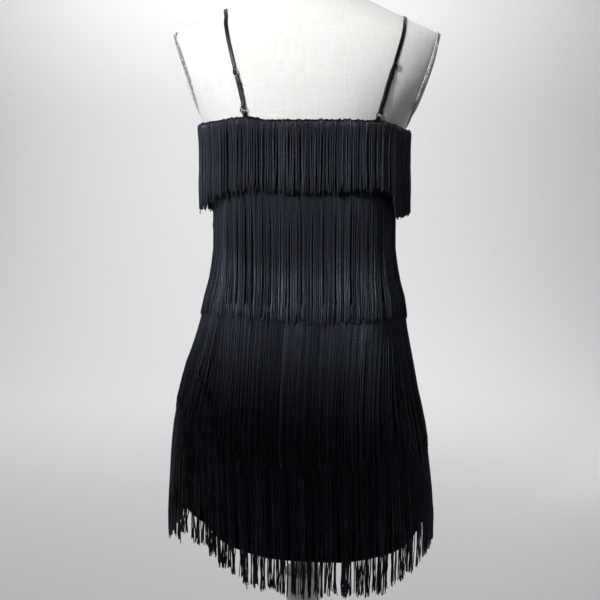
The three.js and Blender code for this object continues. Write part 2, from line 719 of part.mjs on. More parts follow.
// One strap with its slider, ring and tab. The hard parts stand in frames on the strap's line.
function strapSet(strap) {
  const group = new THREE.Group();
  const line = strapLine(strap);
  const stand = (mesh, along) => {
    const { place, way, across, out } = frameOn(line, along);
    mesh.applyMatrix4(new THREE.Matrix4().makeBasis(across, way, out).setPosition(place));
    group.add(mesh);
  };
  group.add(piece(`strap_${strap.side}`, strapBand(strap, line), MATERIALS.satin));
  group.add(piece(`tab_${strap.side}`, tabBand(strap, line), MATERIALS.satin));
  stand(piece(`slider_${strap.side}`, sliderPlate(), MATERIALS.metal), strap.sliderAt);
  const ring = new THREE.TorusGeometry(RING.radius, RING.wire, RING.tubeSides, RING.segments);
  stand(piece(`ring_${strap.side}`, ring.translate(0, 0, RING_LIFT), MATERIALS.metal), strap.ringAt);
  return group;
}

function dressForm() {
  const group = new THREE.Group();
  group.add(piece("form_torso", torso(), MATERIALS.canvas));
  for (const [side, name] of [[-1, "armhole_plate_left"], [1, "armhole_plate_right"]]) {
    const mesh = piece(name, armholePlate(), MATERIALS.canvas);
    const faceOut = new THREE.Matrix4().makeBasis(
      new THREE.Vector3(0, side, 0),
      new THREE.Vector3(0, 0, 1),
      new THREE.Vector3(side, 0, 0),
    );
    faceOut.setPosition(0, 0, PLATE.up);
    mesh.applyMatrix4(armholeFrame(side).multiply(faceOut));
    group.add(mesh);
  }
  group.add(piece("stand_rod", formRod(), MATERIALS.wood));
  group.add(piece("stand_pole", poleTube(), MATERIALS.paint));
  group.add(piece("stand_base", basePlate(), MATERIALS.paint));
  return group;
}

const model = new THREE.Group();
model.add(dress(), dressForm());
export default model;
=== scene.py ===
import math

import bpy
import numpy as np
from mathutils import Matrix, Vector
from mathutils.bvhtree import BVHTree


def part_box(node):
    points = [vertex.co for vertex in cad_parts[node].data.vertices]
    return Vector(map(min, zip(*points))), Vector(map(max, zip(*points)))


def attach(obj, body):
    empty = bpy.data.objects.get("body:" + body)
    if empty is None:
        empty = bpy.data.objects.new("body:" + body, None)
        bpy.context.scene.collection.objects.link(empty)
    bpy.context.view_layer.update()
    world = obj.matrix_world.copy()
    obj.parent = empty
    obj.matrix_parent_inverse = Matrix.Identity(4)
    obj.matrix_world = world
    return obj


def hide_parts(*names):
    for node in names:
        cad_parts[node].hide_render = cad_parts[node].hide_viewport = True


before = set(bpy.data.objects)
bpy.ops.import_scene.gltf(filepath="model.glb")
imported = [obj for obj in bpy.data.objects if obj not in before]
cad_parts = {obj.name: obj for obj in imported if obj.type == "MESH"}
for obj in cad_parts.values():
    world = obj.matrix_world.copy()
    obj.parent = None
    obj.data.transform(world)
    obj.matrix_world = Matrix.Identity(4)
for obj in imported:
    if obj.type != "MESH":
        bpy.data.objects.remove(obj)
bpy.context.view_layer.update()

ROOT = "root"
MM = 0.001
FULL_TURN = 2 * math.pi
ALMOST_ONE = 1 - 1e-9  # keeps the end of a turn from being its start
HALVES = ("front", "back")


class Values:
    """Named values of one part, or of one row of a table."""

    def __init__(self, **values):
        for name, value in values.items():
            setattr(self, name, value)


# Camera, with its focal length in pixels of the photo
PHOTO_PIXELS = 600
FOCAL_PIXELS = 767
CAMERA = Values(place=(-0.0056, -1.150, 1.040), down=8.16, sensor=36)

# Section of the body: a rounded oval, squarer than an ellipse, whose power is 2.
OVAL_POWER = 2.25
LEVEL_STEP = 4 * MM
SMOOTH_LEVELS = 3
LOWEST_SECTION = 0.548  # the sections end where the slip is whole all round
FLANK = (0.74, 0.97)  # shares of the half width between which strands are pushed outwards

# Heights of the dress's edges, in metres at turns in degrees. Turn runs from +X over the middle
# of the front at 90 and -X at 180 to the middle of the back at 270.
EDGES = {
    "top": {
        0: 1.124, 20: 1.130, 160: 1.130, 205: 1.1305, 222: 1.132, 233: 1.1345, 243: 1.1355,
        252: 1.131, 262: 1.130, 305: 1.131, 313: 1.130, 322: 1.1265, 332: 1.1225, 346: 1.121,
    },
    "tips1": {
        0: 1.010, 30: 1.004, 90: 1.004, 150: 1.008, 180: 1.018, 198: 1.022, 210: 1.025, 215: 1.028,
        219: 1.033, 233: 1.038, 242: 1.043, 252: 1.038, 270: 1.036, 294: 1.039, 314: 1.039,
        319: 1.030, 324: 1.003, 336: 1.003, 346: 1.008,
    },
    "tips2": {
        0: 0.852, 45: 0.858, 135: 0.860, 180: 0.857, 210: 0.863, 230: 0.866, 255: 0.864, 270: 0.862,
        281: 0.859, 292: 0.861, 304: 0.859, 322: 0.860, 340: 0.856,
    },
    "tips3": {
        0: 0.662, 45: 0.660, 90: 0.664, 135: 0.690, 160: 0.735, 180: 0.750, 203: 0.749, 219: 0.730,
        230: 0.706, 240: 0.692, 248: 0.681, 256: 0.677, 271: 0.675, 288: 0.673, 308: 0.672,
        333: 0.673, 348: 0.670,
    },
    "strip2": {0: 1.047},
    "strip3": {0: 0.883},
    "strip4": {
        0: 0.703, 90: 0.703, 135: 0.725, 160: 0.765, 180: 0.780, 203: 0.779, 219: 0.762, 232: 0.735,
        244: 0.716, 258: 0.705,
    },
    "hem": {
        0: 0.546, 45: 0.543, 135: 0.545, 180: 0.546, 196: 0.560, 209: 0.577, 219: 0.584, 223: 0.575,
        231: 0.570, 237: 0.553, 243: 0.545, 258: 0.533, 272: 0.5285, 285: 0.525, 307: 0.528,
        316: 0.533, 330: 0.556, 345: 0.556,
    },
    "tips4": {
        0: 0.506, 45: 0.502, 135: 0.503, 180: 0.505, 200: 0.528, 214: 0.544, 222: 0.541, 228: 0.531,
        234: 0.517, 240: 0.510, 250: 0.495, 262: 0.486, 278: 0.480, 303: 0.475, 314: 0.484,
        325: 0.494, 342: 0.516,
    },
}

# Tiers of fringe, in mm but for the shares. next_strip is the edge that the tips pass over, and
# rise how far they stand out there. out is how far the two layers of yarn hang from the body, and
# flat how much of it is missing at their own strip. pitch is from yarn to yarn, and rows is how
# many steps a yarn hangs in. tuft is the least and most width of a tuft and group how many tufts
# lean together, pull how far the yarns draw in to their tuft and to their group, and gather where
# along the yarn. The tips vary by uneven from tuft to tuft and by ragged from yarn to yarn, drift
# is how far they stray aside, and wave how far each yarn waves.
TIERS = [
    Values(
        node="fringe_tier_1", top="top", tips="tips1", next_strip="strip2", rise=1.2, rows=8,
        out=(3.2, 4.6), flat=0.0, pitch=1.45, tuft=(2.4, 4.6), group=(2, 5), pull=(0.58, 0.08),
        gather=(0.0, 0.25), uneven=2.3, ragged=0.5, drift=0.8, wave=0.5,
    ),
    Values(
        node="fringe_tier_2", top="strip2", tips="tips2", next_strip="strip3", rise=2.1, rows=9,
        out=(1.4, 2.7), flat=0.2, pitch=1.45, tuft=(1.8, 3.8), group=(2, 6), pull=(0.56, 0.13),
        gather=(0.02, 0.35), uneven=1.6, ragged=0.7, drift=0.6, wave=0.4,
    ),
    Values(
        node="fringe_tier_3", top="strip3", tips="tips3", next_strip="strip4", rise=2.3, rows=10,
        out=(1.4, 2.7), flat=0.2, pitch=1.35, tuft=(1.8, 3.8), group=(2, 5), pull=(0.12, 0.03),
        gather=(0.05, 0.6), uneven=5.0, ragged=3.5, drift=1.5, wave=0.7,
    ),
    Values(
        node="fringe_tier_4", top="strip4", tips="tips4", next_strip=None, rise=0, rows=15,
        out=(1.7, 3.1), flat=0.7, pitch=1.6, tuft=(3.2, 5.4), group=(1, 1), pull=(0.68, 0.0),
        gather=(0.50, 0.92), uneven=3.0, ragged=2.0, drift=2.4, wave=1.3,
    ),
]
FIRST_SEED = 41  # of tier 1
# Yarns. The shares are of their tier's values, and the first of two is the least.
YARN = Values(
    radius=0.72 * MM, sides=5, thick=(0.88, 1.12),
    aside=0.15, pull=(0.7, 1.15), drift=0.6, wave=(0.3, 1.0), wave_out=0.5,
    waves=(1.5, 5.0), tuft_out=0.45, own_out=0.28,
    spacing=1.25,  # above 1, the steps are shorter near the strip
    clear=0.1 * MM,  # from the body
)
TIP = Values(near=0.99, blunt=1.4 * MM, thin=0.3)  # a yarn narrows over its last part
STRAGGLERS = Values(share=0.03, longer=(2, 7))  # some yarns hang longer, by so many mm
# How a yarn goes over its strip, in mm: how far out from its hanging part, and how far below the
# top. The loops stand higher or lower by the spread, but not lower than the lowest.
YARN_LOOP = [(-2.6, 3.0), (-2.4, 0.5), (-1.6, -0.6), (-0.6, 0.4), (0.0, 2.6)]
LOOP_BEND = slice(1, 4)  # its middle points, which the spread moves
LOOP_SPREAD = 1.1 * MM
LOOP_LOWEST = -0.3 * MM
SETTLED = 24 * MM  # how far below its strip a yarn has come back to the body
OVER_STRIP = 30 * MM  # how far above a strip the yarns over it begin to rise
STRIP = Values(height=8 * MM, inner=0.4 * MM, thick=1.2 * MM, below=0.8 * MM, columns=480)
# Turns between which the tips of a tier are torn, and how far up they vary.
RAGGED = [
    Values(tips="tips1", start=172, end=222, spread=5 * MM),
    Values(tips="tips3", start=160, end=254, spread=20 * MM),
    Values(tips="tips3", start=250, end=355, spread=8 * MM),
]
RAGGED_EASE = 15  # degrees

# Loose yarns on the back, in mm: where each starts, how far it falls and leans, how far out it
# lies and bows, and the radius of the curl at its end, which turns towards -X where below 0.
STRAY_COLUMNS = ("tier", "x", "z", "fall", "lean", "out", "bow", "curl")
STRAYS = [
    Values(**dict(zip(STRAY_COLUMNS, row)))
    for row in (
        (2, -150, 1003, 29, 0, 3.0, 3.6, 0.0), (2, -96, 882, 13, 1, 5.4, 0.6, 1.6),
        (2, -52, 880, 14, -1, 5.4, 0.6, -1.5), (2, -8, 879, 13, 1, 5.4, 0.6, 1.7),
        (2, 37, 880, 14, 2, 5.4, 0.6, -1.4), (2, 74, 881, 14, -1, 5.4, 0.6, 1.5),
        (3, -139, 778, 44, -10, 5.0, 1.2, 0.0), (3, -146, 786, 18, 2, 4.8, 1.0, 2.2),
        (3, -138, 774, 20, 3, 4.8, 1.0, -2.0), (3, -133, 762, 20, -2, 4.8, 1.0, 2.4),
        (3, -113, 760, 16, 2, 4.8, 1.0, 2.0), (3, -99, 742, 20, 2, 4.8, 1.0, -2.6),
        (3, -126, 728, 20, -1, 4.8, 1.0, 2.2), (3, -139, 704, 20, 2, 4.8, 1.2, -2.0),
        (3, -91, 693, 18, 1, 4.8, 1.0, 2.4), (3, -81, 685, 16, -1, 4.8, 1.0, 2.0),
        (3, -63, 687, 17, 1, 4.8, 1.0, -2.4), (3, 109, 685, 14, 2, 4.8, 1.0, 6.0),
        (3, -22, 683, 13, 1, 4.8, 0.6, 1.8), (3, 31, 684, 15, -1, 4.8, 0.6, -2.0),
        (3, 68, 686, 15, 1, 4.8, 0.6, 2.2), (4, -171, 705, 42, 2, 4.4, 1.6, 1.4),
        (4, -168, 694, 34, -1, 4.4, 1.6, -1.6), (4, -118, 700, 30, 3, 4.4, 1.0, 2.4),
    )
]
CURL = Values(turn=math.radians(205), start=0.55, fallen=0.75, out=0.4)
STRAY_POINTS = 22

SLIP = Values(columns=48, rows=44, thick=0.7 * MM, below=1.0 * MM)
HEM_FOLD = Values(height=12 * MM, thick=0.5 * MM, ease=2 * MM)
# The rolled edge along the slip's top: its radius, how far it stands out and above the edge, and
# the length and depth of its ruffles, with the shares that move it out and make it thicker.
ROLL = Values(
    radius=1.4 * MM, out=3.7 * MM, above=1.1 * MM, ruffle=3.4 * MM, deep=0.9 * MM, moved=0.6,
    thicker=0.5, columns=360, sides=8, seed=7,
)

# Straps. Lengths run from the slip's back edge over the shoulder. sway is how far the strap lies
# aside at lengths, in mm, spread how far its two plies lie apart, and tacks how many mm below the
# slider its lumps of stitches are.
STRAPS = [
    Values(
        side="left", edge_x=-77 * MM, lean=-0.22, ring_at=17 * MM, slider_at=66 * MM,
        sway={0: 1.2, 10: 0.6, 17: 0.4, 27: 1.4, 45: 1.3, 58: 0.8, 70: 0.0, 115: -0.7, 142: 0.0,
              158: 2.4},
        spread=1.3 * MM, tacks=(15, 22),
    ),
    Values(
        side="right", edge_x=97 * MM, lean=0.33, ring_at=11 * MM, slider_at=79 * MM,
        sway={0: 0.0, 32: -0.2, 50: -1.5, 112: -1.6, 135: -2.4, 152: -4.2, 170: -4.2},
        spread=1.1 * MM, tacks=(17,),
    ),
]
STRAP = Values(width=5.2 * MM, thick=1.0 * MM, dome=0.35 * MM, lift=1.1 * MM, edge_z=1.130)
STRAP_FACE = Values(points=9, edge_power=6)
RING = Values(radius=4.2 * MM, wire=0.8 * MM, around=64, section=20)
SLIDER = Values(
    bar=1.0 * MM, slot=3.0 * MM, thick=1.0 * MM, corner=1.3 * MM, points=96, bar_points=12,
    sides=12,
)
PLY_GAP = 0.3 * MM
FOLD_POINTS = 9
FOLD_RADIUS = RING.wire + PLY_GAP + STRAP.thick / 2
RING_LIFT = STRAP.lift + FOLD_RADIUS
UNDER_LIFT = STRAP.lift + STRAP.thick + PLY_GAP
BAR_LIFT = STRAP.thick / 2 + PLY_GAP + SLIDER.thick / 2
OVER_LIFT = UNDER_LIFT + 2 * BAR_LIFT
FOLD_AT = math.sqrt(RING.radius ** 2 - (STRAP.width / 2) ** 2)
STOPS = Values(step=1.0 * MM, eased=2)
TACK = Values(
    points=9, sides=8, radius=1.05 * MM, inside=2.6 * MM, over=3.4 * MM, above=1.1 * MM,
    wander=0.5 * MM, wave=6, round_from=0.12, round_part=0.80,
)
# The straps' lines are found by rays towards a hub in the chest.
HUB = Values(z=1.150, reach=0.3, past=0.30, rays=400, eased=30)
BESIDE = 2.5 * MM

# Dress form
TORSO = Values(weld=0.01 * MM, voxel=5.5 * MM, smooth=0.6, eased=10)
PLATE = Values(
    up=0.0545, across=0.044, high=3.2 * MM, crown=1.2 * MM, sunk=0.4 * MM, edge_power=10, edge=0.7,
    inset=0.995, rings=16, columns=96,
)
RIM = Values(up=0.066, across=0.050, slack=1.12, points=240, reach=0.2, eased=6)
CORDS = [
    Values(deep=2.5 * MM, lift=0.0, thick=1.0),
    Values(deep=5.4 * MM, lift=0.6 * MM, thick=0.8),
]
CORD = Values(pitch=6.4 * MM, strand=1.0 * MM, offset=0.85 * MM, sides=6, step=1.1 * MM)
BASE = Values(
    height=14 * MM, foot=2 * MM, edge=5 * MM, corner=1.7 * MM, boss=46 * MM, boss_edge=3 * MM,
)
POLE = Values(lip=2.5 * MM, lip_height=6 * MM, lip_edge=1 * MM, recess=5 * MM, gap=0.3 * MM)
TURNED = Values(segments=128, bevel=0.8 * MM, steps=3, start=math.radians(20))

# Stage and lights. The room is lighter behind the form and overhead than on the camera's side.
STAGE = Values(front=-6.0, bend=2.6, radius=1.6, top=6.0, side=7.0, steps=16)
ROOM_COLOUR = (0.95, 0.97, 1.0, 1)
ROOM = [
    Values(axis="Y", start=-0.4, end=0.7, least=0.045, most=0.24),
    Values(axis="Z", start=0.1, end=1.0, least=0.0, most=0.06),
]
LIGHTS = [
    Values(
        name="key", place=(-0.45, -1.55, 2.35), aim=(0, 0, 1.42), size=(0.7, 0.7), power=0.86,
        colour=(1.0, 0.99, 0.97), spread=26,
    ),
    Values(
        name="front", place=(-1.60, -1.68, 2.08), aim=(0, 0, 1.17), size=(0.50, 0.72), power=1.66,
        colour=(0.97, 0.98, 1.0), spread=8,
    ),
    Values(
        name="wall", place=(-0.25, 2.0, 3.5), aim=(0.1, 4.2, 0.72), size=(3.4, 1.0), power=126,
        colour=(1, 1, 1), spread=180,
    ),
    Values(
        name="beyond", place=(1.9, 1.6, 2.1), aim=(0, 0.1, 0.95), size=(1.2, 1.2), power=4,
        colour=(1.0, 0.99, 0.98), spread=50,
    ),
]


# Small helpers

def smoothstep(value, low=0.0, high=1.0):
    share = np.clip((value - low) / (high - low), 0, 1)
    return share * share * (3 - 2 * share)


def unit(ways):
    return ways / np.linalg.norm(ways, axis=-1, keepdims=True)


def running_length(points):
    """Length along paths up to each of their points."""
    steps = np.linalg.norm(np.diff(points, axis=-2), axis=-1)
    return np.concatenate([np.zeros((*steps.shape[:-1], 1)), np.cumsum(steps, axis=-1)], axis=-1)


def rows_at(value, keys, rows):
    """Rows read at values between their keys."""
    return np.stack([np.interp(value, keys, column) for column in rows.T], axis=-1)


def eased(points, times):
    """An open line, each point drawn towards its neighbours so many times."""
    for _ in range(times):
        points[1:-1] = (points[:-2] + 2 * points[1:-1] + points[2:]) / 4
    return points


def edge_height(edge, turn):
    """Height of an edge at turns in degrees."""
    return np.interp(turn, *zip(*EDGES[edge].items()), period=360)


def node_points(name):
    return np.array([v.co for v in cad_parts[name].data.vertices])


def tree_of(name):
    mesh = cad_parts[name].data
    return BVHTree.FromPolygons([v.co for v in mesh.vertices], [p.vertices for p in mesh.polygons])


def link(name, data):
    made = bpy.data.objects.new(name, data)
    bpy.context.scene.collection.objects.link(made)
    return made


def shade_smooth(mesh):
    mesh.polygons.foreach_set("use_smooth", [True] * len(mesh.polygons))


def add_mesh(name, points, faces, loop_uv=None):
    mesh = bpy.data.meshes.new(name)
    mesh.from_pydata(np.asarray(points).reshape(-1, 3).tolist(), [], [list(f) for f in faces])
    shade_smooth(mesh)
    if loop_uv is not None:
        layer = mesh.uv_layers.new(name="cloth")
        layer.data.foreach_set("uv", np.asarray(loop_uv, np.float32).ravel())
    mesh.validate()
    mesh.update()
    return link(name, mesh)


def joined(name, parts):
    """One piece from several sets of points, faces and coordinates."""
    points, faces, uvs, base = [], [], [], 0
    for part_points, part_faces, part_uv in parts:
        points.append(part_points)
        faces += [[base + i for i in f] for f in part_faces]
        uvs.append(part_uv)
        base += len(part_points)
    return add_mesh(name, np.concatenate(points), faces, np.concatenate(uvs))


def finish_piece(piece, material, slot, *nodes):
    """Gives a piece its material, sets it on the frame and hides what it stands for. The slot is not
    used.
    """
    piece.data.materials.clear()
    piece.data.materials.append(material)
    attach(piece, ROOT)
    if nodes:
        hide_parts(*nodes)
    return piece


def add_modifier(piece, kind, **settings):
    modifier = piece.modifiers.new(kind.lower(), kind)
    for name, value in settings.items():
        setattr(modifier, name, value)


# Rings of corners, joined into tubes and bars

def ring_quads(index):
    """Faces between each ring of corners and the next one."""
    after = np.roll(index, -1, axis=-1)
    low, high = np.s_[..., :-1, :], np.s_[..., 1:, :]
    return np.stack([index[low], after[low], after[high], index[high]], axis=-1).reshape(-1, 4)


def ring_uv(length, corners):
    """Coordinates for those faces: a turn round the rings, and the length along them."""
    around = np.arange(corners + 1) / corners
    low, high = length[..., :-1, None], length[..., 1:, None]
    shape = (*low.shape[:-1], corners, 4)
    across = np.stack([around[:-1], around[1:], around[1:], around[:-1]], axis=-1)
    along = np.stack([low, low, high, high], axis=-1)
    pair = [np.broadcast_to(across, shape), np.broadcast_to(along, shape)]
    return np.stack(pair, axis=-1).reshape(-1, 2)


def bars(points, length=None):
    """Bars through rings of corners, with flat ends and, where they have lengths, coordinates.
    points is (bar, ring, corner, 3)."""
    count, rows, corners = points.shape[:3]
    index = np.arange(count * rows * corners).reshape(count, rows, corners)
    faces = [*ring_quads(index).tolist(), *index[:, 0, ::-1].tolist(), *index[:, -1].tolist()]
    uv = np.zeros((sum(len(f) for f in faces), 2))
    if length is not None:
        uv[:-2 * count * corners] = ring_uv(length, corners)
    return points.reshape(-1, 3), faces, uv


def tubes(paths, radii, sides, outs):
    """Tubes along many paths, with coordinates along and round them. paths is (count, rows, 3),
    radii is (count, rows), and outs is a way out for each point."""
    along = unit(np.gradient(paths, axis=1))
    side = unit(np.cross(along, outs))
    up = np.cross(side, along)
    turn = FULL_TURN * np.arange(sides) / sides
    ring = side[:, :, None] * np.cos(turn)[:, None] + up[:, :, None] * np.sin(turn)[:, None]
    return bars(paths[:, :, None] + ring * radii[:, :, None, None], running_length(paths))


def tube(path, radius, sides, outs, closed=False):
    """One tube along a path, or round a closed one."""
    if closed:
        path, outs = np.vstack([path, path[:1]]), np.vstack([outs, outs[:1]])
    return tubes(path[None], np.broadcast_to(radius, (1, len(path))), sides, outs[None])


# Sections of the slip, measured on its solid panels

class Ovals:
    """Oval sections at even levels, each as its right, left, back and front."""

    def __init__(self, names):
        points, edges = [], []
        for name in names:
            base = sum(len(part) for part in points)
            points.append(node_points(name))
            edges.append(np.array([e.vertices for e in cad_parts[name].data.edges]) + base)
        points, edges = np.concatenate(points), np.concatenate(edges)
        self.z = np.arange(LOWEST_SECTION, points[:, 2].max(), LEVEL_STEP)
        a, b = points[edges[:, 0]], points[edges[:, 1]]
        rows = []
        for z in self.z:
            across = (a[:, 2] - z) * (b[:, 2] - z) < 0
            share = (z - a[across, 2]) / (b[across, 2] - a[across, 2])
            cut = a[across] + (b[across] - a[across]) * share[:, None]
            rows.append([cut[:, 0].max(), -cut[:, 0].min(), -cut[:, 1].min(), cut[:, 1].max()])
        self.rows = self.smoothed(np.array(rows))

    @staticmethod
    def smoothed(rows):
        padded = np.pad(rows, ((SMOOTH_LEVELS, SMOOTH_LEVELS), (0, 0)), mode="edge")
        width = 2 * SMOOTH_LEVELS + 1
        return sum(padded[k:k + len(rows)] for k in range(width)) / width

    def at(self, z, rows=None):
        """Sections at heights, as right, left, back and front along the last axis."""
        return rows_at(z, self.z, self.rows if rows is None else rows)

    def plumb(self, top):
        """Sections that strands hung from a height follow: plumb below what stands out furthest."""
        rows = self.rows.copy()
        first = np.searchsorted(self.z, top)
        below = np.maximum.accumulate(np.vstack([self.at(top), rows[:first][::-1]]), axis=0)
        rows[:first] = below[1:][::-1]
        return rows


def oval_points(section, angle, out=0.0):
    """Points on rounded ovals, moved out from them."""
    right, left, back, front = np.moveaxis(section, -1, 0)
    middle, half = (right - left) / 2, (right + left) / 2
    cos, sin = np.cos(angle), np.sin(angle)
    depth = np.where(sin < 0, back, front)
    power = 2 / OVAL_POWER
    x = middle + (half + out) * np.sign(cos) * np.abs(cos) ** power
    y = (depth + out) * np.sign(sin) * np.abs(sin) ** power
    return x, y


def placed(section, angle, out, z):
    """Places at heights on rounded ovals, moved out from them, with the level way out at each."""
    x, y = oval_points(section, angle, out)
    more_x, more_y = oval_points(section, angle, out + MM)
    ways = unit(np.stack([more_x - x, more_y - y, np.zeros_like(x)], axis=-1))
    return np.stack([x, y, z], axis=-1), ways


def back_angle(section, x):
    """Angle of the point on the back of an oval that lies at x."""
    right, left = section[..., 0], section[..., 1]
    share = np.clip((x - (right - left) / 2) / ((right + left) / 2), -1, 1)
    return -np.arccos(np.sign(share) * np.abs(share) ** (OVAL_POWER / 2))


def settled(angle, root, here):
    """Angle on a lower oval of a strand from a higher one. It falls straight down, and is pushed
    outwards only where the flank turns away."""
    cos, sin = np.cos(angle), np.sin(angle)
    power = 2 / OVAL_POWER
    u, v = np.abs(cos) ** power, np.abs(sin) ** power
    half = [(s[..., 0] + s[..., 1]) / 2 for s in (root, here)]
    depth = [np.where(sin < 0, s[..., 2], s[..., 3]) for s in (root, here)]
    straight = np.arccos(np.clip(u * half[0] / half[1], 0, 1) ** (1 / power))
    flank = np.arcsin(np.clip(v * depth[0] / depth[1], 0, 1) ** (1 / power))
    share = smoothstep(u, *FLANK)
    first = straight * (1 - share) + flank * share
    return np.arctan2(np.sign(sin) * np.sin(first), np.sign(cos) * np.cos(first))


class Girth:
    """Lengths round an oval, to lay things out evenly on it."""

    STEPS = 2000

    def __init__(self, section):
        self.angles = np.linspace(0, FULL_TURN, self.STEPS + 1)
        x, y = oval_points(np.broadcast_to(section, (self.STEPS + 1, 4)), self.angles)
        self.lengths = np.concatenate([[0], np.cumsum(np.hypot(np.diff(x), np.diff(y)))])
        self.total = self.lengths[-1]
        split = self.lengths[np.searchsorted(self.angles, math.pi)]
        self.halves = {"front": (0, split), "back": (split, self.total)}

    def angle(self, length):
        turns = np.floor(length / self.total)
        return np.interp(length - turns * self.total, self.lengths, self.angles) + FULL_TURN * turns


ovals = Ovals(["dress_front", "dress_back"])


# Fringe

def lay_out(rng, tier, girth):
    """Where each yarn hangs: its length round the girth, its layer and the tuft it belongs to."""
    low, high = tier.tuft
    edges = np.cumsum(rng.uniform(low, high, int(girth.total / (low * MM))) * MM)
    edges = edges[edges < girth.total - low * MM]
    edges = np.concatenate([[0], edges, [girth.total]])
    tufts = len(edges) - 1
    tuft_middle = (edges[1:] + edges[:-1]) / 2
    group = np.repeat(np.arange(tufts), rng.integers(*tier.group, tufts, endpoint=True))[:tufts]
    group_middle = np.array([tuft_middle[group == g].mean() for g in range(group.max() + 1)])
    lengths, layers = [], []
    for layer in range(2):
        many = round(girth.total / (tier.pitch * MM))
        even = (np.arange(many) + 0.5 * layer) * girth.total / many
        aside = rng.uniform(-YARN.aside, YARN.aside, many)
        lengths.append(even + aside * tier.pitch * MM)
        layers.append(np.full(many, layer))
    length = np.concatenate(lengths) % girth.total
    tuft = np.clip(np.searchsorted(edges, length, side="right") - 1, 0, tufts - 1)
    return Values(
        length=length, layer=np.concatenate(layers), tuft=tuft, tufts=tufts,
        tuft_middle=tuft_middle[tuft], group_middle=group_middle[group[tuft]],
    )


def torn_tips(rng, tier, turn):
    """How much further down the torn tips hang."""
    down = 0
    for ragged in RAGGED:
        if ragged.tips != tier.tips:
            continue
        torn = smoothstep(turn, ragged.start, ragged.start + RAGGED_EASE)
        torn *= 1 - smoothstep(turn, ragged.end - RAGGED_EASE, ragged.end)
        down = down + torn * np.abs(rng.normal(0, ragged.spread, len(turn)))
    return down


def hang(rng, tier, highest, girth):
    """Paths of a tier's yarns, with the way out from the body at each point."""
    plumb = ovals.plumb(highest)
    yarns = lay_out(rng, tier, girth)
    count, tufts = len(yarns.length), yarns.tufts

    def by_tuft(spread):
        return rng.normal(0, spread, tufts)[yarns.tuft]

    turn = np.degrees(girth.angle(yarns.length))
    top = edge_height(tier.top, turn)
    straggles, longer = rng.random(count), rng.uniform(*STRAGGLERS.longer, count)
    straggle = np.where(straggles < STRAGGLERS.share, longer * MM, 0)
    tip = edge_height(tier.tips, turn) + by_tuft(tier.uneven * MM) - straggle
    tip += rng.normal(0, tier.ragged * MM, count)
    tip -= torn_tips(rng, tier, turn)

    loop = np.array(YARN_LOOP) * MM
    looped = len(loop)
    higher = (by_tuft(LOOP_SPREAD) + rng.normal(0, LOOP_SPREAD / 2, count))[:, None]
    hanging = np.linspace(0, 1, tier.rows + 1)[1:-1] ** YARN.spacing
    t = np.concatenate([np.zeros(looped), hanging, [TIP.near, 1]])[None, :]
    start = top - loop[-1, 1]
    z = start[:, None] + (tip - start)[:, None] * t
    z[:, :looped] = top[:, None] - loop[None, :, 1]
    z[:, LOOP_BEND] += np.maximum(higher, LOOP_LOWEST)

    gather = smoothstep(t, *tier.gather)
    tuft_pull, group_pull = tier.pull
    own_pull = tuft_pull * rng.uniform(*YARN.pull, count)
    wave = tier.wave * rng.uniform(*YARN.wave, count) * MM
    phase, waves = rng.uniform(0, FULL_TURN, count), rng.uniform(*YARN.waves, count)
    swing = phase[:, None] + FULL_TURN * waves[:, None] * t
    loose = t**2
    drift = by_tuft(tier.drift * MM) + rng.normal(0, YARN.drift * tier.drift * MM, count)
    length = (
        yarns.length[:, None]
        + (own_pull * (yarns.tuft_middle - yarns.length))[:, None] * gather
        + (group_pull * (yarns.group_middle - yarns.tuft_middle))[:, None] * gather
        + drift[:, None] * loose
        + wave[:, None] * np.sin(swing) * t
    )
    root = np.broadcast_to(ovals.at(top)[:, None], (*z.shape, 4))
    here = ovals.at(z, plumb)
    angle = settled(girth.angle(length), root, here)

    layer_out = np.take(np.array(tier.out) * MM, yarns.layer)[:, None]
    own_out = by_tuft(YARN.tuft_out * MM) + rng.normal(0, YARN.own_out * MM, count)
    out = layer_out + own_out[:, None] * gather
    out = out + YARN.wave_out * wave[:, None] * np.cos(swing) * loose
    if tier.next_strip:
        strip_from = edge_height(tier.next_strip, turn)[:, None] + OVER_STRIP
        out = out + tier.rise * MM * smoothstep(strip_from - z, 0, OVER_STRIP)
    over = STRIP.inner + STRIP.thick
    out[:, :looped] += over + loop[None, :, 0] - tier.flat * layer_out
    near_strip = 1 - smoothstep(start[:, None] - z[:, looped:], 0, SETTLED)
    out[:, looped:] += (over - tier.flat * layer_out) * near_strip
    return placed(here, angle, np.maximum(out, YARN.radius + YARN.clear), z)


def stray_yarn(stray):
    """One loose yarn that falls from its start and ends in a small curl."""
    t = np.linspace(0, 1, STRAY_POINTS)
    curl = CURL.turn * smoothstep(t, CURL.start, 1.0) * (stray.curl != 0)
    radius = stray.curl * MM
    fallen = np.minimum(t / CURL.fallen, 1) if stray.curl else t
    x = (stray.x + stray.lean * fallen) * MM + radius * (1 - np.cos(curl))
    z = (stray.z - stray.fall * fallen) * MM - abs(radius) * np.sin(curl)
    out = (stray.out + stray.bow * np.sin(math.pi * t)) * MM
    out += CURL.out * abs(radius) * (1 - np.cos(curl))
    section = ovals.at(z)
    path, ways = placed(section, back_angle(section, x), out, z)
    return tube(path, YARN.radius, YARN.sides, ways)


def strip_rings(tier, girth):
    """The sewn strip that a tier's yarns loop over, as a ring of corners at each column."""
    angle = girth.angle(np.arange(STRIP.columns) * girth.total / STRIP.columns)
    top = edge_height(tier.top, np.degrees(angle)) - STRIP.below
    section = ovals.at(top)
    inner, outer, height = STRIP.inner, STRIP.inner + STRIP.thick, STRIP.height
    corners = ((inner, 0), (outer, 0), (outer, height), (inner, height))
    return np.stack([placed(section, angle, out, top - down)[0] for out, down in corners], axis=1)


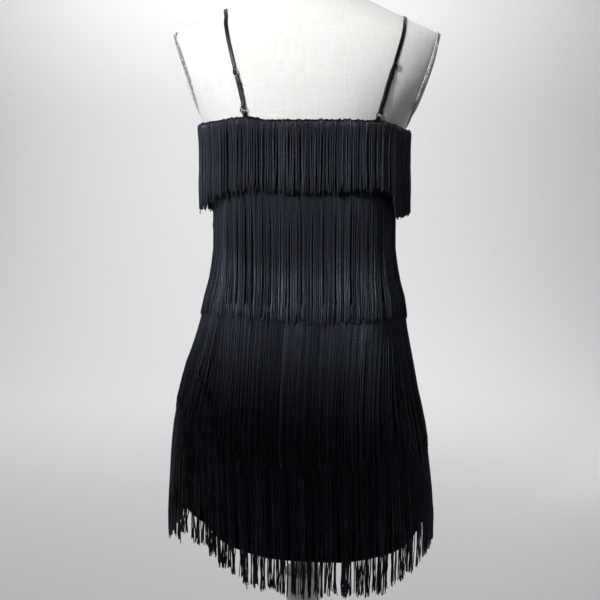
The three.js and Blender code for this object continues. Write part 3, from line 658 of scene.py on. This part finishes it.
def make_fringe(material):
    """Two pieces a tier, for the front and the back half, each with its half of the strip."""
    made = []
    for number, tier in enumerate(TIERS):
        rng = np.random.default_rng(FIRST_SEED + number)
        highest = max(EDGES[tier.top].values())
        girth = Girth(ovals.at(highest))
        paths, outs = hang(rng, tier, highest, girth)
        thick = YARN.radius * rng.uniform(*YARN.thick, len(paths))[:, None]
        above_tip = paths[..., 2] - paths[:, -1:, 2]
        thick = thick * (1 - TIP.thin * (1 - smoothstep(above_tip, 0, TIP.blunt)))
        rings = strip_rings(tier, girth)
        for half in HALVES:
            is_back = half == "back"
            chosen = (paths[:, -1, 1] < 0) == is_back
            yarn = tubes(paths[chosen], thick[chosen], YARN.sides, outs[chosen])
            loose = [stray_yarn(s) for s in STRAYS if is_back and s.tier == number + 1]
            span = np.arange(STRIP.columns // 2 + 1) + is_back * STRIP.columns // 2
            parts = [yarn, *loose, bars(rings[None, span % STRIP.columns])]
            piece = joined(f"fringe_{number + 1}_{half}", parts)
            made.append(finish_piece(piece, material, "fringe_yarn", tier.node))
    return made


# Slip

def slip_panel(half, material):
    """One slip panel, a thin shell with a folded hem, and the size of its cut."""
    columns, rows = SLIP.columns, SLIP.rows
    girth = Girth(ovals.at(ovals.z[0]))
    even = np.linspace(*girth.halves[half], columns + 1)
    angle = girth.angle(np.clip(even, 0, girth.total * ALMOST_ONE))
    turn = np.degrees(angle)
    top, hem = edge_height("top", turn) - SLIP.below, edge_height("hem", turn)
    t = np.linspace(0, 1, rows + 1)[:, None]
    z = top[None] + (hem - top)[None] * t
    section = ovals.at(z)
    fold = HEM_FOLD.height - (z - hem[None])
    fold = HEM_FOLD.thick * smoothstep(fold, 0, HEM_FOLD.ease)
    outs = (0 * fold, -SLIP.thick - fold)
    angles = np.broadcast_to(angle, z.shape)
    outer, inner = (placed(section, angles, out, z)[0] for out in outs)
    count = (rows + 1) * (columns + 1)
    index = np.arange(count).reshape(rows + 1, columns + 1)
    faces = []
    for base, flip in ((0, False), (count, True)):
        grid = index + base
        quad = [grid[:-1, :-1], grid[1:, :-1], grid[1:, 1:], grid[:-1, 1:]]
        faces += np.stack(quad[::-1] if flip else quad, -1).reshape(-1, 4).tolist()
    border = [*index[0], *index[1:, -1], *index[-1, -2::-1], *index[-2:0:-1, 0]]
    for a, b in zip(border, border[1:] + border[:1]):
        faces.append([a, b, b + count, a + count])
    steps = np.linalg.norm(np.diff(outer, axis=1), axis=-1)
    drops = np.linalg.norm(np.diff(outer, axis=0), axis=-1)
    across = running_length(outer)
    uv = np.stack([across - across[:, -1:] / 2, z], -1).reshape(-1, 2)
    loop_uv = np.concatenate([uv, uv])[[i for f in faces for i in f]]
    piece = add_mesh(f"slip_{half}", np.concatenate([outer, inner]), faces, loop_uv)
    area = float((steps[:-1] + steps[1:]).mean() / 2 * columns * drops.sum(axis=0).mean())
    cut = (float(steps.sum(axis=1).max()), float(drops.sum(axis=0).max()))
    return finish_piece(piece, material, "slip_cloth", f"dress_{half}"), cut, area


def edge_roll(half, rng, material):
    """Half of the ruffled roll of cloth along the top of the slip."""
    girth = Girth(ovals.at(EDGES["top"][0]))
    start, end = girth.halves[half]
    length = np.linspace(start, end * ALMOST_ONE, ROLL.columns)
    angle = girth.angle(length)
    knots = np.arange(start - ROLL.ruffle, end + 2 * ROLL.ruffle, ROLL.ruffle / 2)
    ways = [rng.uniform(-1, 1, len(knots)) for _ in range(3)]
    up, out, thick = [np.interp(length, knots, way) * ROLL.deep for way in ways]
    z = edge_height("top", np.degrees(angle)) + ROLL.above + up
    path, outs = placed(ovals.at(z), angle, ROLL.out + ROLL.moved * out, z)
    parts = [tube(path, ROLL.radius + ROLL.thicker * thick, ROLL.sides, outs)]
    return finish_piece(joined(f"edge_roll_{half}", parts), material, "slip_cloth")


# Straps

class StrapLine:
    """The line of a strap on the form, from the back edge of the slip over the shoulder to the
    front edge, with the ways across it and out of the form."""

    def __init__(self, strap, tree):
        lines = [self.cast(strap, tree, side * BESIDE) for side in (-1, 0, 1)]
        self.sway = strap.sway
        self.place = lines[1]
        self.across = lines[2] - lines[0]
        self.lengths = running_length(self.place)
        self.total = self.lengths[-1]

    @staticmethod
    def cast(strap, tree, beside):
        """Points of the form in the strap's slanted plane, by rays towards the hub."""

        def plane_x(z):
            return strap.edge_x + strap.lean * (z - STRAP.edge_z) + beside

        found = []
        hub = Vector((plane_x(HUB.z), 0, HUB.z))
        for angle in np.linspace(-HUB.past, math.pi + HUB.past, HUB.rays):
            z = HUB.z + HUB.reach * math.sin(angle)
            start = Vector((plane_x(z), -HUB.reach * math.cos(angle), z))
            found.append(tree.ray_cast(start, (hub - start).normalized())[0])
        points = eased(np.array(found), HUB.eased)
        first = np.argmax(points[:, 2] >= STRAP.edge_z)
        last = len(points) - np.argmax(points[::-1, 2] >= STRAP.edge_z)
        length = running_length(points[first:last])
        return rows_at(np.linspace(0, length[-1], HUB.rays), length, points[first:last])

    def at(self, along, lift):
        """Places at lengths along the line, lifted off the form, with the ways across and out."""
        along, lift = np.asarray(along), np.asarray(lift)
        place, ahead, behind = (
            rows_at(along + step, self.lengths, self.place) for step in (0, MM, -MM)
        )
        across = rows_at(along, self.lengths, self.across)
        way = unit(ahead - behind)
        across = unit(across - way * (across * way).sum(axis=1, keepdims=True))
        out = np.cross(across, way)
        sway = np.interp(along / MM, *zip(*self.sway.items())) * MM
        return place + out * lift[:, None] + across * sway[:, None], across, out


def rounded_stops(stops):
    """Stops as (along, lift, aside) rows, filled in and rounded where they turn."""
    points = np.array([(*stop, 0.0)[:3] for stop in stops])
    length = np.concatenate([[0], np.cumsum(np.hypot(*np.diff(points[:, :2], axis=0).T))])
    even = np.linspace(0, length[-1], int(length[-1] / STOPS.step) + 2)
    return eased(rows_at(even, length, points), STOPS.eased)


def band_part(line, stops):
    """A satin band swept along stops, domed on both faces."""
    path = rounded_stops(stops)
    place, across, _ = line.at(path[:, 0], path[:, 1])
    place = place + across * path[:, 2:]
    out = np.cross(across, unit(np.gradient(place, axis=0)))
    half, thick, dome = STRAP.width / 2, STRAP.thick / 2, STRAP.dome
    section = []
    for side in (1, -1):
        for s in np.linspace(-1, 1, STRAP_FACE.points)[:-1] * side:
            lifted = side * (thick - dome + dome * math.sqrt(max(0, 1 - s * s)))
            edge = math.sqrt(max(0, 1 - abs(s) ** STRAP_FACE.edge_power))
            section.append((s * half, lifted * edge))
    section = np.array(section[::-1])
    aside, up = section[None, :, :1], section[None, :, 1:]
    points = place[:, None] + across[:, None] * aside + out[:, None] * up
    return bars(points[None], running_length(place)[None])


def fold_stops(middle, towards):
    """A half turn round the ring's wire."""
    return [
        (middle + towards * FOLD_RADIUS * math.sin(turn), RING_LIFT + FOLD_RADIUS * math.cos(turn))
        for turn in np.linspace(0, math.pi, FOLD_POINTS)
    ]


def strap_stops(strap, line):
    """From the front edge through the slider, round the ring and back up under the slider, as
    places along the line, lifts and ways aside."""
    slider, end_bar = strap.slider_at, SLIDER.bar + SLIDER.slot
    fold = strap.ring_at + FOLD_AT
    top = RING_LIFT + FOLD_RADIUS
    spread = strap.spread
    return [
        (line.total - 1.2 * MM, STRAP.lift),
        (slider + end_bar + 4 * MM, STRAP.lift),
        (slider + end_bar + 0.8 * MM, UNDER_LIFT - 0.2 * MM),
        (slider + end_bar - 0.4 * MM, UNDER_LIFT - 0.1 * MM),
        (slider + 0.55 * MM, OVER_LIFT),
        (slider - 0.55 * MM, OVER_LIFT),
        (slider - end_bar + 0.4 * MM, UNDER_LIFT - 0.1 * MM),
        (slider - end_bar - 0.9 * MM, UNDER_LIFT),
        (slider - end_bar - 6 * MM, UNDER_LIFT, spread / 2),
        (fold + 12 * MM, UNDER_LIFT, spread / 2),
        (fold + 6 * MM, UNDER_LIFT, spread / 4),
        (fold + 2.4 * MM, top),
        *fold_stops(fold, -1),
        (fold + 10 * MM, STRAP.lift, -spread / 2),
        (slider - end_bar - 6 * MM, STRAP.lift, -spread / 2),
        (slider - 2 * MM, STRAP.lift),
    ]


def tab_stops(strap):
    """From the back edge round the ring and back to the edge."""
    fold = strap.ring_at - FOLD_AT
    return [
        (0.9 * MM, 2.4 * MM),
        (fold - 3 * MM, RING_LIFT + FOLD_RADIUS),
        *fold_stops(fold, 1),
        (0.9 * MM, STRAP.lift),
    ]


def make_straps(satin, metal):
    tree = tree_of("form_torso")
    for strap in STRAPS:
        line = StrapLine(strap, tree)
        side = strap.side
        tacks = [bar_tack(line, strap, at) for at in strap.tacks]
        bands = {"strap": [band_part(line, strap_stops(strap, line)), *tacks]}
        bands["tab"] = [band_part(line, tab_stops(strap))]
        for name, parts in bands.items():
            piece = joined(f"satin_{name}_{side}", parts)
            finish_piece(piece, satin, "strap_satin", f"{name}_{side}")
        make_ring(side, metal)
        make_slider(line, strap, metal)


def bar_tack(line, strap, below):
    """A lump of stitches over the edge of the doubled strap, below its slider by so many mm."""
    t = np.linspace(0, 1, TACK.points)
    quarter = math.pi * t / 2
    aside = STRAP.width / 2 + strap.spread / 2 - TACK.inside + TACK.over * np.sin(quarter)
    lift = STRAP.lift + (STRAP.thick + TACK.above) * np.sqrt(np.cos(quarter))
    along = strap.slider_at - below * MM + TACK.wander * np.sin(TACK.wave * t)
    place, across, out = line.at(along, lift)
    radii = TACK.radius * np.sqrt(np.sin(math.pi * (TACK.round_from + TACK.round_part * t)))
    return tube(place + across * aside[:, None], radii, TACK.sides, out)


def make_slider(line, strap, metal):
    """A frame of rounded wire with a bar across its middle, which the strap goes over."""
    wire, corner = SLIDER.thick / 2, SLIDER.corner
    half_width = STRAP.width / 2 + wire
    half_length = SLIDER.bar + SLIDER.slot
    turn = FULL_TURN * np.arange(SLIDER.points) / SLIDER.points
    ways = np.stack([np.cos(turn), np.sin(turn)])
    square = ways / np.abs(ways).max(axis=0) * np.array([[half_width], [half_length]])
    inner = np.array([[half_width - corner], [half_length - corner]])
    frame_path = np.clip(square, -inner, inner) + ways * corner
    bar_path = np.stack([np.linspace(-half_width, half_width, SLIDER.bar_points)] * 2) * [[1], [0]]
    parts = []
    for (aside, along), closed in ((frame_path, True), (bar_path, False)):
        lift = np.full(along.shape, UNDER_LIFT + BAR_LIFT)
        place, across, out = line.at(strap.slider_at + along, lift)
        path = place + across * aside[:, None]
        parts.append(tube(path, wire, SLIDER.sides, out, closed))
    piece = joined(f"metal_slider_{strap.side}", parts)
    finish_piece(piece, metal, "strap_metal", f"slider_{strap.side}")


def make_ring(side, metal):
    """A fine ring in place of the coarse one, which gives its middle and its plane."""
    points = node_points(f"ring_{side}")
    middle = (points.min(axis=0) + points.max(axis=0)) / 2
    axis = Vector(np.linalg.svd(points - points.mean(axis=0), full_matrices=False)[2][2])
    bpy.ops.mesh.primitive_torus_add(
        major_segments=RING.around, minor_segments=RING.section,
        major_radius=RING.radius, minor_radius=RING.wire,
    )
    piece = bpy.context.active_object
    piece.name = f"metal_ring_{side}"
    turned = axis.to_track_quat("Z", "Y").to_matrix().to_4x4()
    piece.data.transform(Matrix.Translation(middle) @ turned)
    shade_smooth(piece.data)
    finish_piece(piece, metal, "strap_metal", f"ring_{side}")


# Dress form

def box_uv(piece):
    """Cloth coordinates in metres, laid on each face along the axes that it faces least."""
    mesh = piece.data
    layer = mesh.uv_layers.get("cloth") or mesh.uv_layers.new(name="cloth")
    for polygon in mesh.polygons:
        normal = [abs(v) for v in polygon.normal]
        first, second = ((1, 2), (0, 2), (0, 1))[normal.index(max(normal))]
        for loop in polygon.loop_indices:
            co = mesh.vertices[mesh.loops[loop].vertex_index].co
            layer.data[loop].uv = (co[first], co[second])


def make_torso(canvas):
    """The form's body, its facets and edges smoothed as padding under canvas."""
    piece = link("canvas_torso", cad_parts["form_torso"].data.copy())
    add_modifier(piece, "WELD", merge_threshold=TORSO.weld)
    add_modifier(piece, "REMESH", mode="VOXEL", voxel_size=TORSO.voxel, use_smooth_shade=True)
    add_modifier(piece, "SMOOTH", factor=TORSO.smooth, iterations=TORSO.eased)
    graph = bpy.context.evaluated_depsgraph_get()
    made = bpy.data.meshes.new_from_object(piece.evaluated_get(graph))
    piece.modifiers.clear()
    piece.data = made
    shade_smooth(made)
    box_uv(piece)
    finish_piece(piece, canvas, "form_canvas", "form_torso")


def armhole_axes(side):
    """Middle of the armhole plate on the form's face, with the ways out, up and back along it."""
    points = node_points(f"armhole_plate_{side}")
    middle = points.mean(axis=0)
    out = np.linalg.svd(points - middle, full_matrices=False)[2][2]
    if (out[0] > 0) != (side == "right"):
        out = -out
    up = np.cross(out, (0, 1, 0))
    up = up if up[2] > 0 else -up
    middle = middle - out * ((points - middle) @ out).max()
    return middle, out, up, np.cross(up, out)


def armhole_loop(axes, tree, deep):
    """Points round the armhole on the form's surface, so deep below the armhole's face."""
    middle, out, up, back = axes
    turns = np.arange(0, FULL_TURN, FULL_TURN / RIM.points)
    wanted = 1 / np.hypot(np.cos(turns) / RIM.across, np.sin(turns) / RIM.up)
    ways = back * np.cos(turns)[:, None] + up * np.sin(turns)[:, None]
    start = Vector(middle - out * deep)
    reach = np.full(len(turns), np.nan)
    for k, way in enumerate(ways):
        hit = tree.ray_cast(start, Vector(way), RIM.reach)[0]
        if hit is not None and (hit - start).length < RIM.slack * wanted[k]:
            reach[k] = (hit - start).length
    known = ~np.isnan(reach)
    reach = np.interp(turns, turns[known], reach[known], period=FULL_TURN)
    for _ in range(RIM.eased):
        reach = (np.roll(reach, 1) + 2 * reach + np.roll(reach, -1)) / 4
    return np.array(start) + ways * reach[:, None], ways


def make_armholes(canvas, cord_cloth):
    tree = tree_of("form_torso")
    for side in ("left", "right"):
        axes = armhole_axes(side)
        cover_armhole(side, axes, canvas)
        parts = []
        for cord in CORDS:
            loop, ways = armhole_loop(axes, tree, cord.deep)
            parts += twisted_cord(loop + ways * cord.lift, axes[1], cord.thick)
        finish_piece(joined(f"armhole_cord_{side}", parts), cord_cloth, "form_canvas")


def cover_armhole(side, axes, canvas):
    """A padded, covered oval plate on the armhole face, a little crowned."""
    middle, out, up, back = axes
    rings, count = PLATE.rings + 1, PLATE.columns
    turns = FULL_TURN * np.arange(count) / count
    rim = back * np.cos(turns)[:, None] * PLATE.across + up * np.sin(turns)[:, None] * PLATE.up
    points = [middle + rim - out * PLATE.sunk]
    for share in np.linspace(1, 0, rings)[:-1]:
        rounded = math.sqrt(1 - share ** PLATE.edge_power)
        high = PLATE.high * rounded * PLATE.edge + PLATE.high * (1 - PLATE.edge)
        high += PLATE.crown * (1 - share**2)
        points.append(middle + rim * (share * PLATE.inset) + out * high)
    points.append(middle[None] + out * (PLATE.high + PLATE.crown))
    index = np.arange(rings * count).reshape(rings, count)
    outward = 1 if np.dot(np.cross(back, up), out) > 0 else -1
    faces = ring_quads(index)[:, ::outward].tolist()
    faces += [[a, b, rings * count][::outward] for a, b in zip(index[-1], np.roll(index[-1], -1))]
    faces.append(list(index[0])[::-outward])
    piece = add_mesh(f"armhole_cover_{side}", np.concatenate(points), faces)
    box_uv(piece)
    finish_piece(piece, canvas, "form_canvas", f"armhole_plate_{side}")


def twisted_cord(loop, normal, thick):
    """Two strands twisted round a closed loop of points."""
    closed = np.vstack([loop, loop[:1]])
    length = running_length(closed)
    total = length[-1]
    even = np.linspace(0, total, int(total / CORD.step), endpoint=False)
    path = rows_at(even, length, closed)
    inward = np.cross(unit(np.roll(path, -1, axis=0) - np.roll(path, 1, axis=0)), normal)
    turns = round(total / CORD.pitch)
    parts = []
    for strand in range(2):
        turn = FULL_TURN * turns * even / total + math.pi * strand
        offset = np.cos(turn)[:, None] * normal + np.sin(turn)[:, None] * inward
        line = path + offset * CORD.offset * thick
        parts.append(tube(line, CORD.strand * thick, CORD.sides, offset, closed=True))
    return parts


# Stand

def turned_piece(name, profile, material, slot, node):
    """A solid of revolution from (radius, height) pairs that start and end on the axis."""
    turn = FULL_TURN * np.arange(TURNED.segments) / TURNED.segments
    rings = [[[r * math.cos(t), r * math.sin(t), z] for t in turn] for r, z in profile[1:-1]]
    points, faces, _ = bars(np.array([rings]))
    piece = add_mesh(name, points, faces)
    add_modifier(
        piece, "BEVEL", width=TURNED.bevel, segments=TURNED.steps, limit_method="ANGLE",
        angle_limit=TURNED.start,
    )
    box_uv(piece)
    finish_piece(piece, material, slot, node)


def make_stand(paint, wood):
    low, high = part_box("stand_base")
    radius, edge, height, boss = high.x, BASE.edge, BASE.height, BASE.boss
    turned_piece("painted_base", [
        (0, low.z), (radius - BASE.foot, low.z), (radius, BASE.foot), (radius, height - edge),
        (radius - BASE.corner, height - BASE.corner), (radius - edge, height),
        (boss, height), (boss - BASE.boss_edge, high.z), (0, high.z),
    ], paint, "stand_paint", "stand_base")
    low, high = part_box("stand_pole")
    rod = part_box("stand_rod")[1].x
    lip, top, mouth = high.x, high.z, rod + POLE.gap
    tube, under, floor = lip - POLE.lip, top - POLE.lip_height, top - POLE.recess
    turned_piece("painted_pole", [
        (0, low.z), (tube, low.z), (tube, under), (lip, under + POLE.lip_edge),
        (lip, top - POLE.lip_edge), (lip - POLE.lip_edge, top), (mouth, top), (mouth, floor),
        (0, floor),
    ], paint, "stand_paint", "stand_pole")
    low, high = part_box("stand_rod")
    profile = [(0, low.z), (rod, low.z), (rod, high.z), (0, high.z)]
    turned_piece("wooden_rod", profile, wood, "stand_wood", "stand_rod")


# Materials

class Nodes:
    """A node tree with a short way to add and join nodes."""

    def __init__(self, owner, shader="Principled BSDF"):
        self.owner = owner
        owner.use_nodes = True
        self.tree = owner.node_tree
        self.shader = self.tree.nodes[shader]

    def add(self, kind, **settings):
        node = self.tree.nodes.new(kind)
        for name, value in settings.items():
            setattr(node, name, value)
        return node

    def join(self, start, end):
        self.tree.links.new(start, end)

    def set(self, **values):
        """Sets the shader's sockets to numbers or to what comes out of a node."""
        for name, value in values.items():
            socket = self.shader.inputs[name.replace("_", " ")]
            if isinstance(value, bpy.types.NodeSocket):
                self.join(value, socket)
            else:
                socket.default_value = value
        return self.owner

    def cloth(self):
        """Coordinates on the cloth, across and along."""
        return self.add("ShaderNodeUVMap", uv_map="cloth").outputs[0]

    def scaled(self, *scale, place=None):
        """Coordinates on the cloth, or others, times a scale along each axis."""
        mapping = self.add("ShaderNodeMapping")
        mapping.inputs["Scale"].default_value = scale
        self.join(place or self.cloth(), mapping.inputs["Vector"])
        return mapping.outputs[0]

    def in_space(self, *scale):
        return self.scaled(*scale, place=self.add("ShaderNodeTexCoord").outputs["Object"])

    def split(self, place):
        node = self.add("ShaderNodeSeparateXYZ")
        self.join(place, node.inputs[0])
        return node.outputs

    def noise(self, place, detail=3.0, roughness=0.6, distortion=0.0):
        node = self.add("ShaderNodeTexNoise")
        values = {"Scale": 1.0, "Detail": detail, "Roughness": roughness, "Distortion": distortion}
        for name, value in values.items():
            node.inputs[name].default_value = value
        self.join(place, node.inputs["Vector"])
        return node.outputs["Fac"]

    def maths(self, operation, *values):
        node = self.add("ShaderNodeMath", operation=operation)
        for socket, value in zip(node.inputs, values):
            if isinstance(value, (int, float)):
                socket.default_value = value
            else:
                self.join(value, socket)
        return node.outputs[0]

    def weighed(self, *pairs):
        """Sum of values, each times its weight."""
        total, *rest = [self.maths("MULTIPLY", value, weight) for value, weight in pairs]
        for value in rest:
            total = self.maths("ADD", total, value)
        return total

    def twist(self, across, along, per_metre):
        """Slanting waves round a yarn or cord, so many along each metre."""
        slant = self.maths("ADD", across, self.maths("MULTIPLY", along, per_metre))
        return self.maths("SINE", self.maths("MULTIPLY", slant, FULL_TURN))

    def ramp(self, value, stops):
        node = self.add("ShaderNodeValToRGB")
        elements = node.color_ramp.elements
        while len(elements) < len(stops):
            elements.new(0.5)
        for element, (place, colour) in zip(elements, stops):
            element.position = place
            element.color = (*colour, 1)
        self.join(value, node.inputs[0])
        return node.outputs[0]

    def bump(self, height, distance, strength=1.0):
        node = self.add("ShaderNodeBump")
        node.inputs["Distance"].default_value = distance
        node.inputs["Strength"].default_value = strength
        self.join(height, node.inputs["Height"])
        self.set(Normal=node.outputs[0])


def material_nodes(name):
    return Nodes(bpy.data.materials.new(name))


def yarn_material():
    """Twisted black rayon, a little different from yarn to yarn and along each."""
    nodes = material_nodes("fringe_yarn")
    island = nodes.add("ShaderNodeNewGeometry").outputs["Random Per Island"]
    around, along, _ = nodes.split(nodes.cloth())
    place = nodes.add("ShaderNodeCombineXYZ")
    for socket, value, scale in zip(place.inputs, (around, along, island), (1.0, 380.0, 70.0)):
        nodes.join(nodes.maths("MULTIPLY", value, scale), socket)
    grain = nodes.noise(place.outputs[0], 2.0)
    colour = nodes.ramp(nodes.weighed((grain, 0.35), (island, 0.65)), [
        (0.20, (0.0002, 0.0002, 0.0003)),
        (0.45, (0.0018, 0.0020, 0.0026)),
        (0.62, (0.0064, 0.0071, 0.0091)),
        (0.82, (0.0270, 0.0300, 0.0370)),
    ])
    smooth = nodes.weighed((grain, 0.45), (island, 0.55))
    rough = nodes.ramp(smooth, [(0.24, (0.75, 0.75, 0.75)), (0.76, (0.24, 0.24, 0.24))])
    nodes.bump(nodes.maths("ADD", nodes.twist(around, along, 330.0), grain), 0.00005)
    return nodes.set(
        Base_Color=colour, Roughness=rough, Specular_IOR_Level=0.45,
        Specular_Tint=(0.66, 0.76, 1.0, 1),
    )


def jersey_material():
    """Matt black knitted cloth."""
    nodes = material_nodes("slip_cloth")
    wale = nodes.add("ShaderNodeTexWave", wave_type="BANDS", bands_direction="X")
    wale.inputs["Scale"].default_value = 0.32
    wale.inputs["Distortion"].default_value = 1.5
    nodes.join(nodes.scaled(900.0, 1300.0, 1.0), wale.inputs["Vector"])
    knit = wale.outputs["Fac"]
    colour = nodes.ramp(knit, [(0.0, (0.0010, 0.0011, 0.0016)), (1.0, (0.0030, 0.0031, 0.0042))])
    nodes.bump(knit, 0.0002, 0.6)
    return nodes.set(Base_Color=colour, Roughness=0.9, Specular_IOR_Level=0.15)


def satin_material():
    """Black satin, with fine ribs across."""
    nodes = material_nodes("strap_satin")
    ribs = nodes.noise(nodes.scaled(1.0, 1800.0, 1.0), 2.0, 0.5)
    colour = nodes.ramp(ribs, [(0.3, (0.0020, 0.0020, 0.0026)), (0.7, (0.0050, 0.0050, 0.0064))])
    nodes.bump(ribs, 0.0001, 0.4)
    return nodes.set(Base_Color=colour, Roughness=0.45, Specular_IOR_Level=0.22)


def metal_material():
    """Small dark nickel hardware with faint wear."""
    nodes = material_nodes("strap_metal")
    wear = nodes.noise(nodes.in_space(900.0, 900.0, 900.0))
    colour = nodes.ramp(wear, [(0.35, (0.08, 0.084, 0.092)), (0.7, (0.15, 0.155, 0.168))])
    rough = nodes.maths("MULTIPLY_ADD", wear, 0.15, 0.14)
    return nodes.set(Base_Color=colour, Roughness=rough, Metallic=1.0)


def canvas_material():
    """Off-white linen canvas: a plain weave with thicker slub threads both ways."""
    nodes = material_nodes("form_canvas")

    def threads(thin, long, detail):
        ways = ((thin, long, 1.0), (long, thin, 1.0))
        return [nodes.noise(nodes.scaled(*way), detail, 0.5) for way in ways]

    weave = nodes.maths("ADD", *threads(1300.0, 110.0, 1.0))
    slubs = nodes.maths("ADD", *threads(560.0, 42.0, 2.0))
    long_slubs = nodes.maths("MAXIMUM", *threads(380.0, 16.0, 1.0))
    patches = nodes.noise(nodes.scaled(26.0, 26.0, 1.0), 2.0, 0.5)
    cloth = nodes.weighed((weave, 0.22), (slubs, 0.42), (long_slubs, 0.34))
    shade = nodes.maths("ADD", cloth, nodes.maths("MULTIPLY", patches, 0.10))
    colour = nodes.ramp(shade, [
        (0.60, (0.545, 0.533, 0.510)),
        (0.86, (0.598, 0.593, 0.572)),
        (1.02, (0.632, 0.629, 0.612)),
    ])
    nodes.bump(cloth, 0.0007, 0.4)
    return nodes.set(Base_Color=colour, Roughness=0.9, Specular_IOR_Level=0.25)


def cord_material():
    """Twisted cotton cord of the armholes, a little greyer than the canvas, with painted shade
    darkening its grooves.
    """
    nodes = material_nodes("form_cord")
    around, along, _ = nodes.split(nodes.cloth())
    speck = nodes.noise(nodes.in_space(420.0, 420.0, 420.0), 2.0, 0.7)
    twist_relief_and_shade = nodes.maths("MULTIPLY", nodes.twist(around, along, 420.0), 0.12)
    height = nodes.maths("ADD", twist_relief_and_shade, speck)
    # Painted shade: the ramp darkens the cord where its twist and specks sink, as the grooves' shadow
    # would; the bump gives the same relief.
    colour = nodes.ramp(height, [
        (0.40, (0.13, 0.125, 0.12)),
        (0.50, (0.42, 0.41, 0.40)),
        (0.62, (0.68, 0.67, 0.65)),
    ])
    nodes.bump(height, 0.0006, 0.8)
    return nodes.set(Base_Color=colour, Roughness=0.9, Specular_IOR_Level=0.2)


def paint_material():
    """Smooth light paint on steel."""
    nodes = material_nodes("stand_paint")
    fine = nodes.noise(nodes.in_space(500.0, 500.0, 500.0), 2.0)
    broad = nodes.noise(nodes.in_space(9.0, 9.0, 9.0))
    colour = nodes.ramp(broad, [(0.3, (0.70, 0.70, 0.70)), (0.7, (0.78, 0.78, 0.78))])
    nodes.bump(fine, 0.0002, 0.15)
    return nodes.set(Base_Color=colour, Roughness=nodes.maths("MULTIPLY_ADD", broad, 0.2, 0.3))


def wood_material():
    """Light varnished wood, its grain along the rod."""
    nodes = material_nodes("stand_wood")
    grain = nodes.noise(nodes.in_space(220.0, 220.0, 7.0), 4.0, 0.6, 0.4)
    colour = nodes.ramp(grain, [
        (0.3, (0.36, 0.24, 0.10)),
        (0.5, (0.52, 0.37, 0.17)),
        (0.7, (0.60, 0.45, 0.23)),
    ])
    nodes.bump(grain, 0.0003, 0.4)
    return nodes.set(Base_Color=colour, Roughness=0.42, Coat_Weight=0.2, Coat_Roughness=0.2)


# Camera, stage and lights

def make_camera():
    data = bpy.data.cameras.new("camera")
    data.sensor_width = CAMERA.sensor
    data.lens = FOCAL_PIXELS / PHOTO_PIXELS * CAMERA.sensor
    camera = link("camera", data)
    camera.location = CAMERA.place
    camera.rotation_euler = (math.radians(90 - CAMERA.down), 0, 0)
    bpy.context.scene.camera = camera


def make_stage():
    """A pale floor that sweeps up into a wall far behind the form."""
    bend, radius, side = STAGE.bend, STAGE.radius, STAGE.side
    line = [(STAGE.front, 0.0), (bend, 0.0)]
    for k in range(1, STAGE.steps + 1):
        turn = math.pi / 2 * k / STAGE.steps
        line.append((bend + radius * math.sin(turn), radius - radius * math.cos(turn)))
    line.append((bend + radius, STAGE.top))
    points = [[x, y, z] for y, z in line for x in (-side, side)]
    faces = [[2 * k, 2 * k + 1, 2 * k + 3, 2 * k + 2] for k in range(len(line) - 1)]
    sweep = add_mesh("floor_sweep", points, faces)
    nodes = material_nodes("pale_floor")
    nodes.set(Base_Color=(0.72, 0.72, 0.735, 1), Roughness=0.9)
    sweep.data.materials.append(nodes.owner)


def make_lights():
    bpy.context.scene.view_settings.view_transform = "Standard"
    bpy.context.scene.world = bpy.data.worlds.new("soft_room")
    room = Nodes(bpy.context.scene.world, "Background")
    ways = room.split(room.add("ShaderNodeTexCoord").outputs["Generated"])
    parts = []
    for row in ROOM:
        ramp = room.add("ShaderNodeMapRange", interpolation_type="SMOOTHSTEP")
        values = (row.start, row.end, row.least, row.most)
        for name, value in zip(("From Min", "From Max", "To Min", "To Max"), values):
            ramp.inputs[name].default_value = value
        room.join(ways[row.axis], ramp.inputs["Value"])
        parts.append(ramp.outputs[0])
    room.set(Color=ROOM_COLOUR, Strength=room.maths("ADD", *parts))
    for row in LIGHTS:
        data = bpy.data.lights.new(row.name, "AREA")
        data.shape = "RECTANGLE"
        data.size, data.size_y = row.size
        data.energy, data.color = row.power, row.colour
        data.spread = math.radians(row.spread)
        light = link(row.name, data)
        light.location = row.place
        way = Vector(row.aim) - Vector(row.place)
        light.rotation_euler = way.to_track_quat("-Z", "Y").to_euler()


make_camera()
make_stage()
make_lights()
canvas = canvas_material()
make_torso(canvas)
make_armholes(canvas, cord_material())
make_stand(paint_material(), wood_material())
jersey = jersey_material()
panels = [slip_panel(half, jersey) for half in HALVES]
edge_rng = np.random.default_rng(ROLL.seed)
trims = [edge_roll(half, edge_rng, jersey) for half in HALVES] + make_fringe(yarn_material())
make_straps(satin_material(), metal_material())
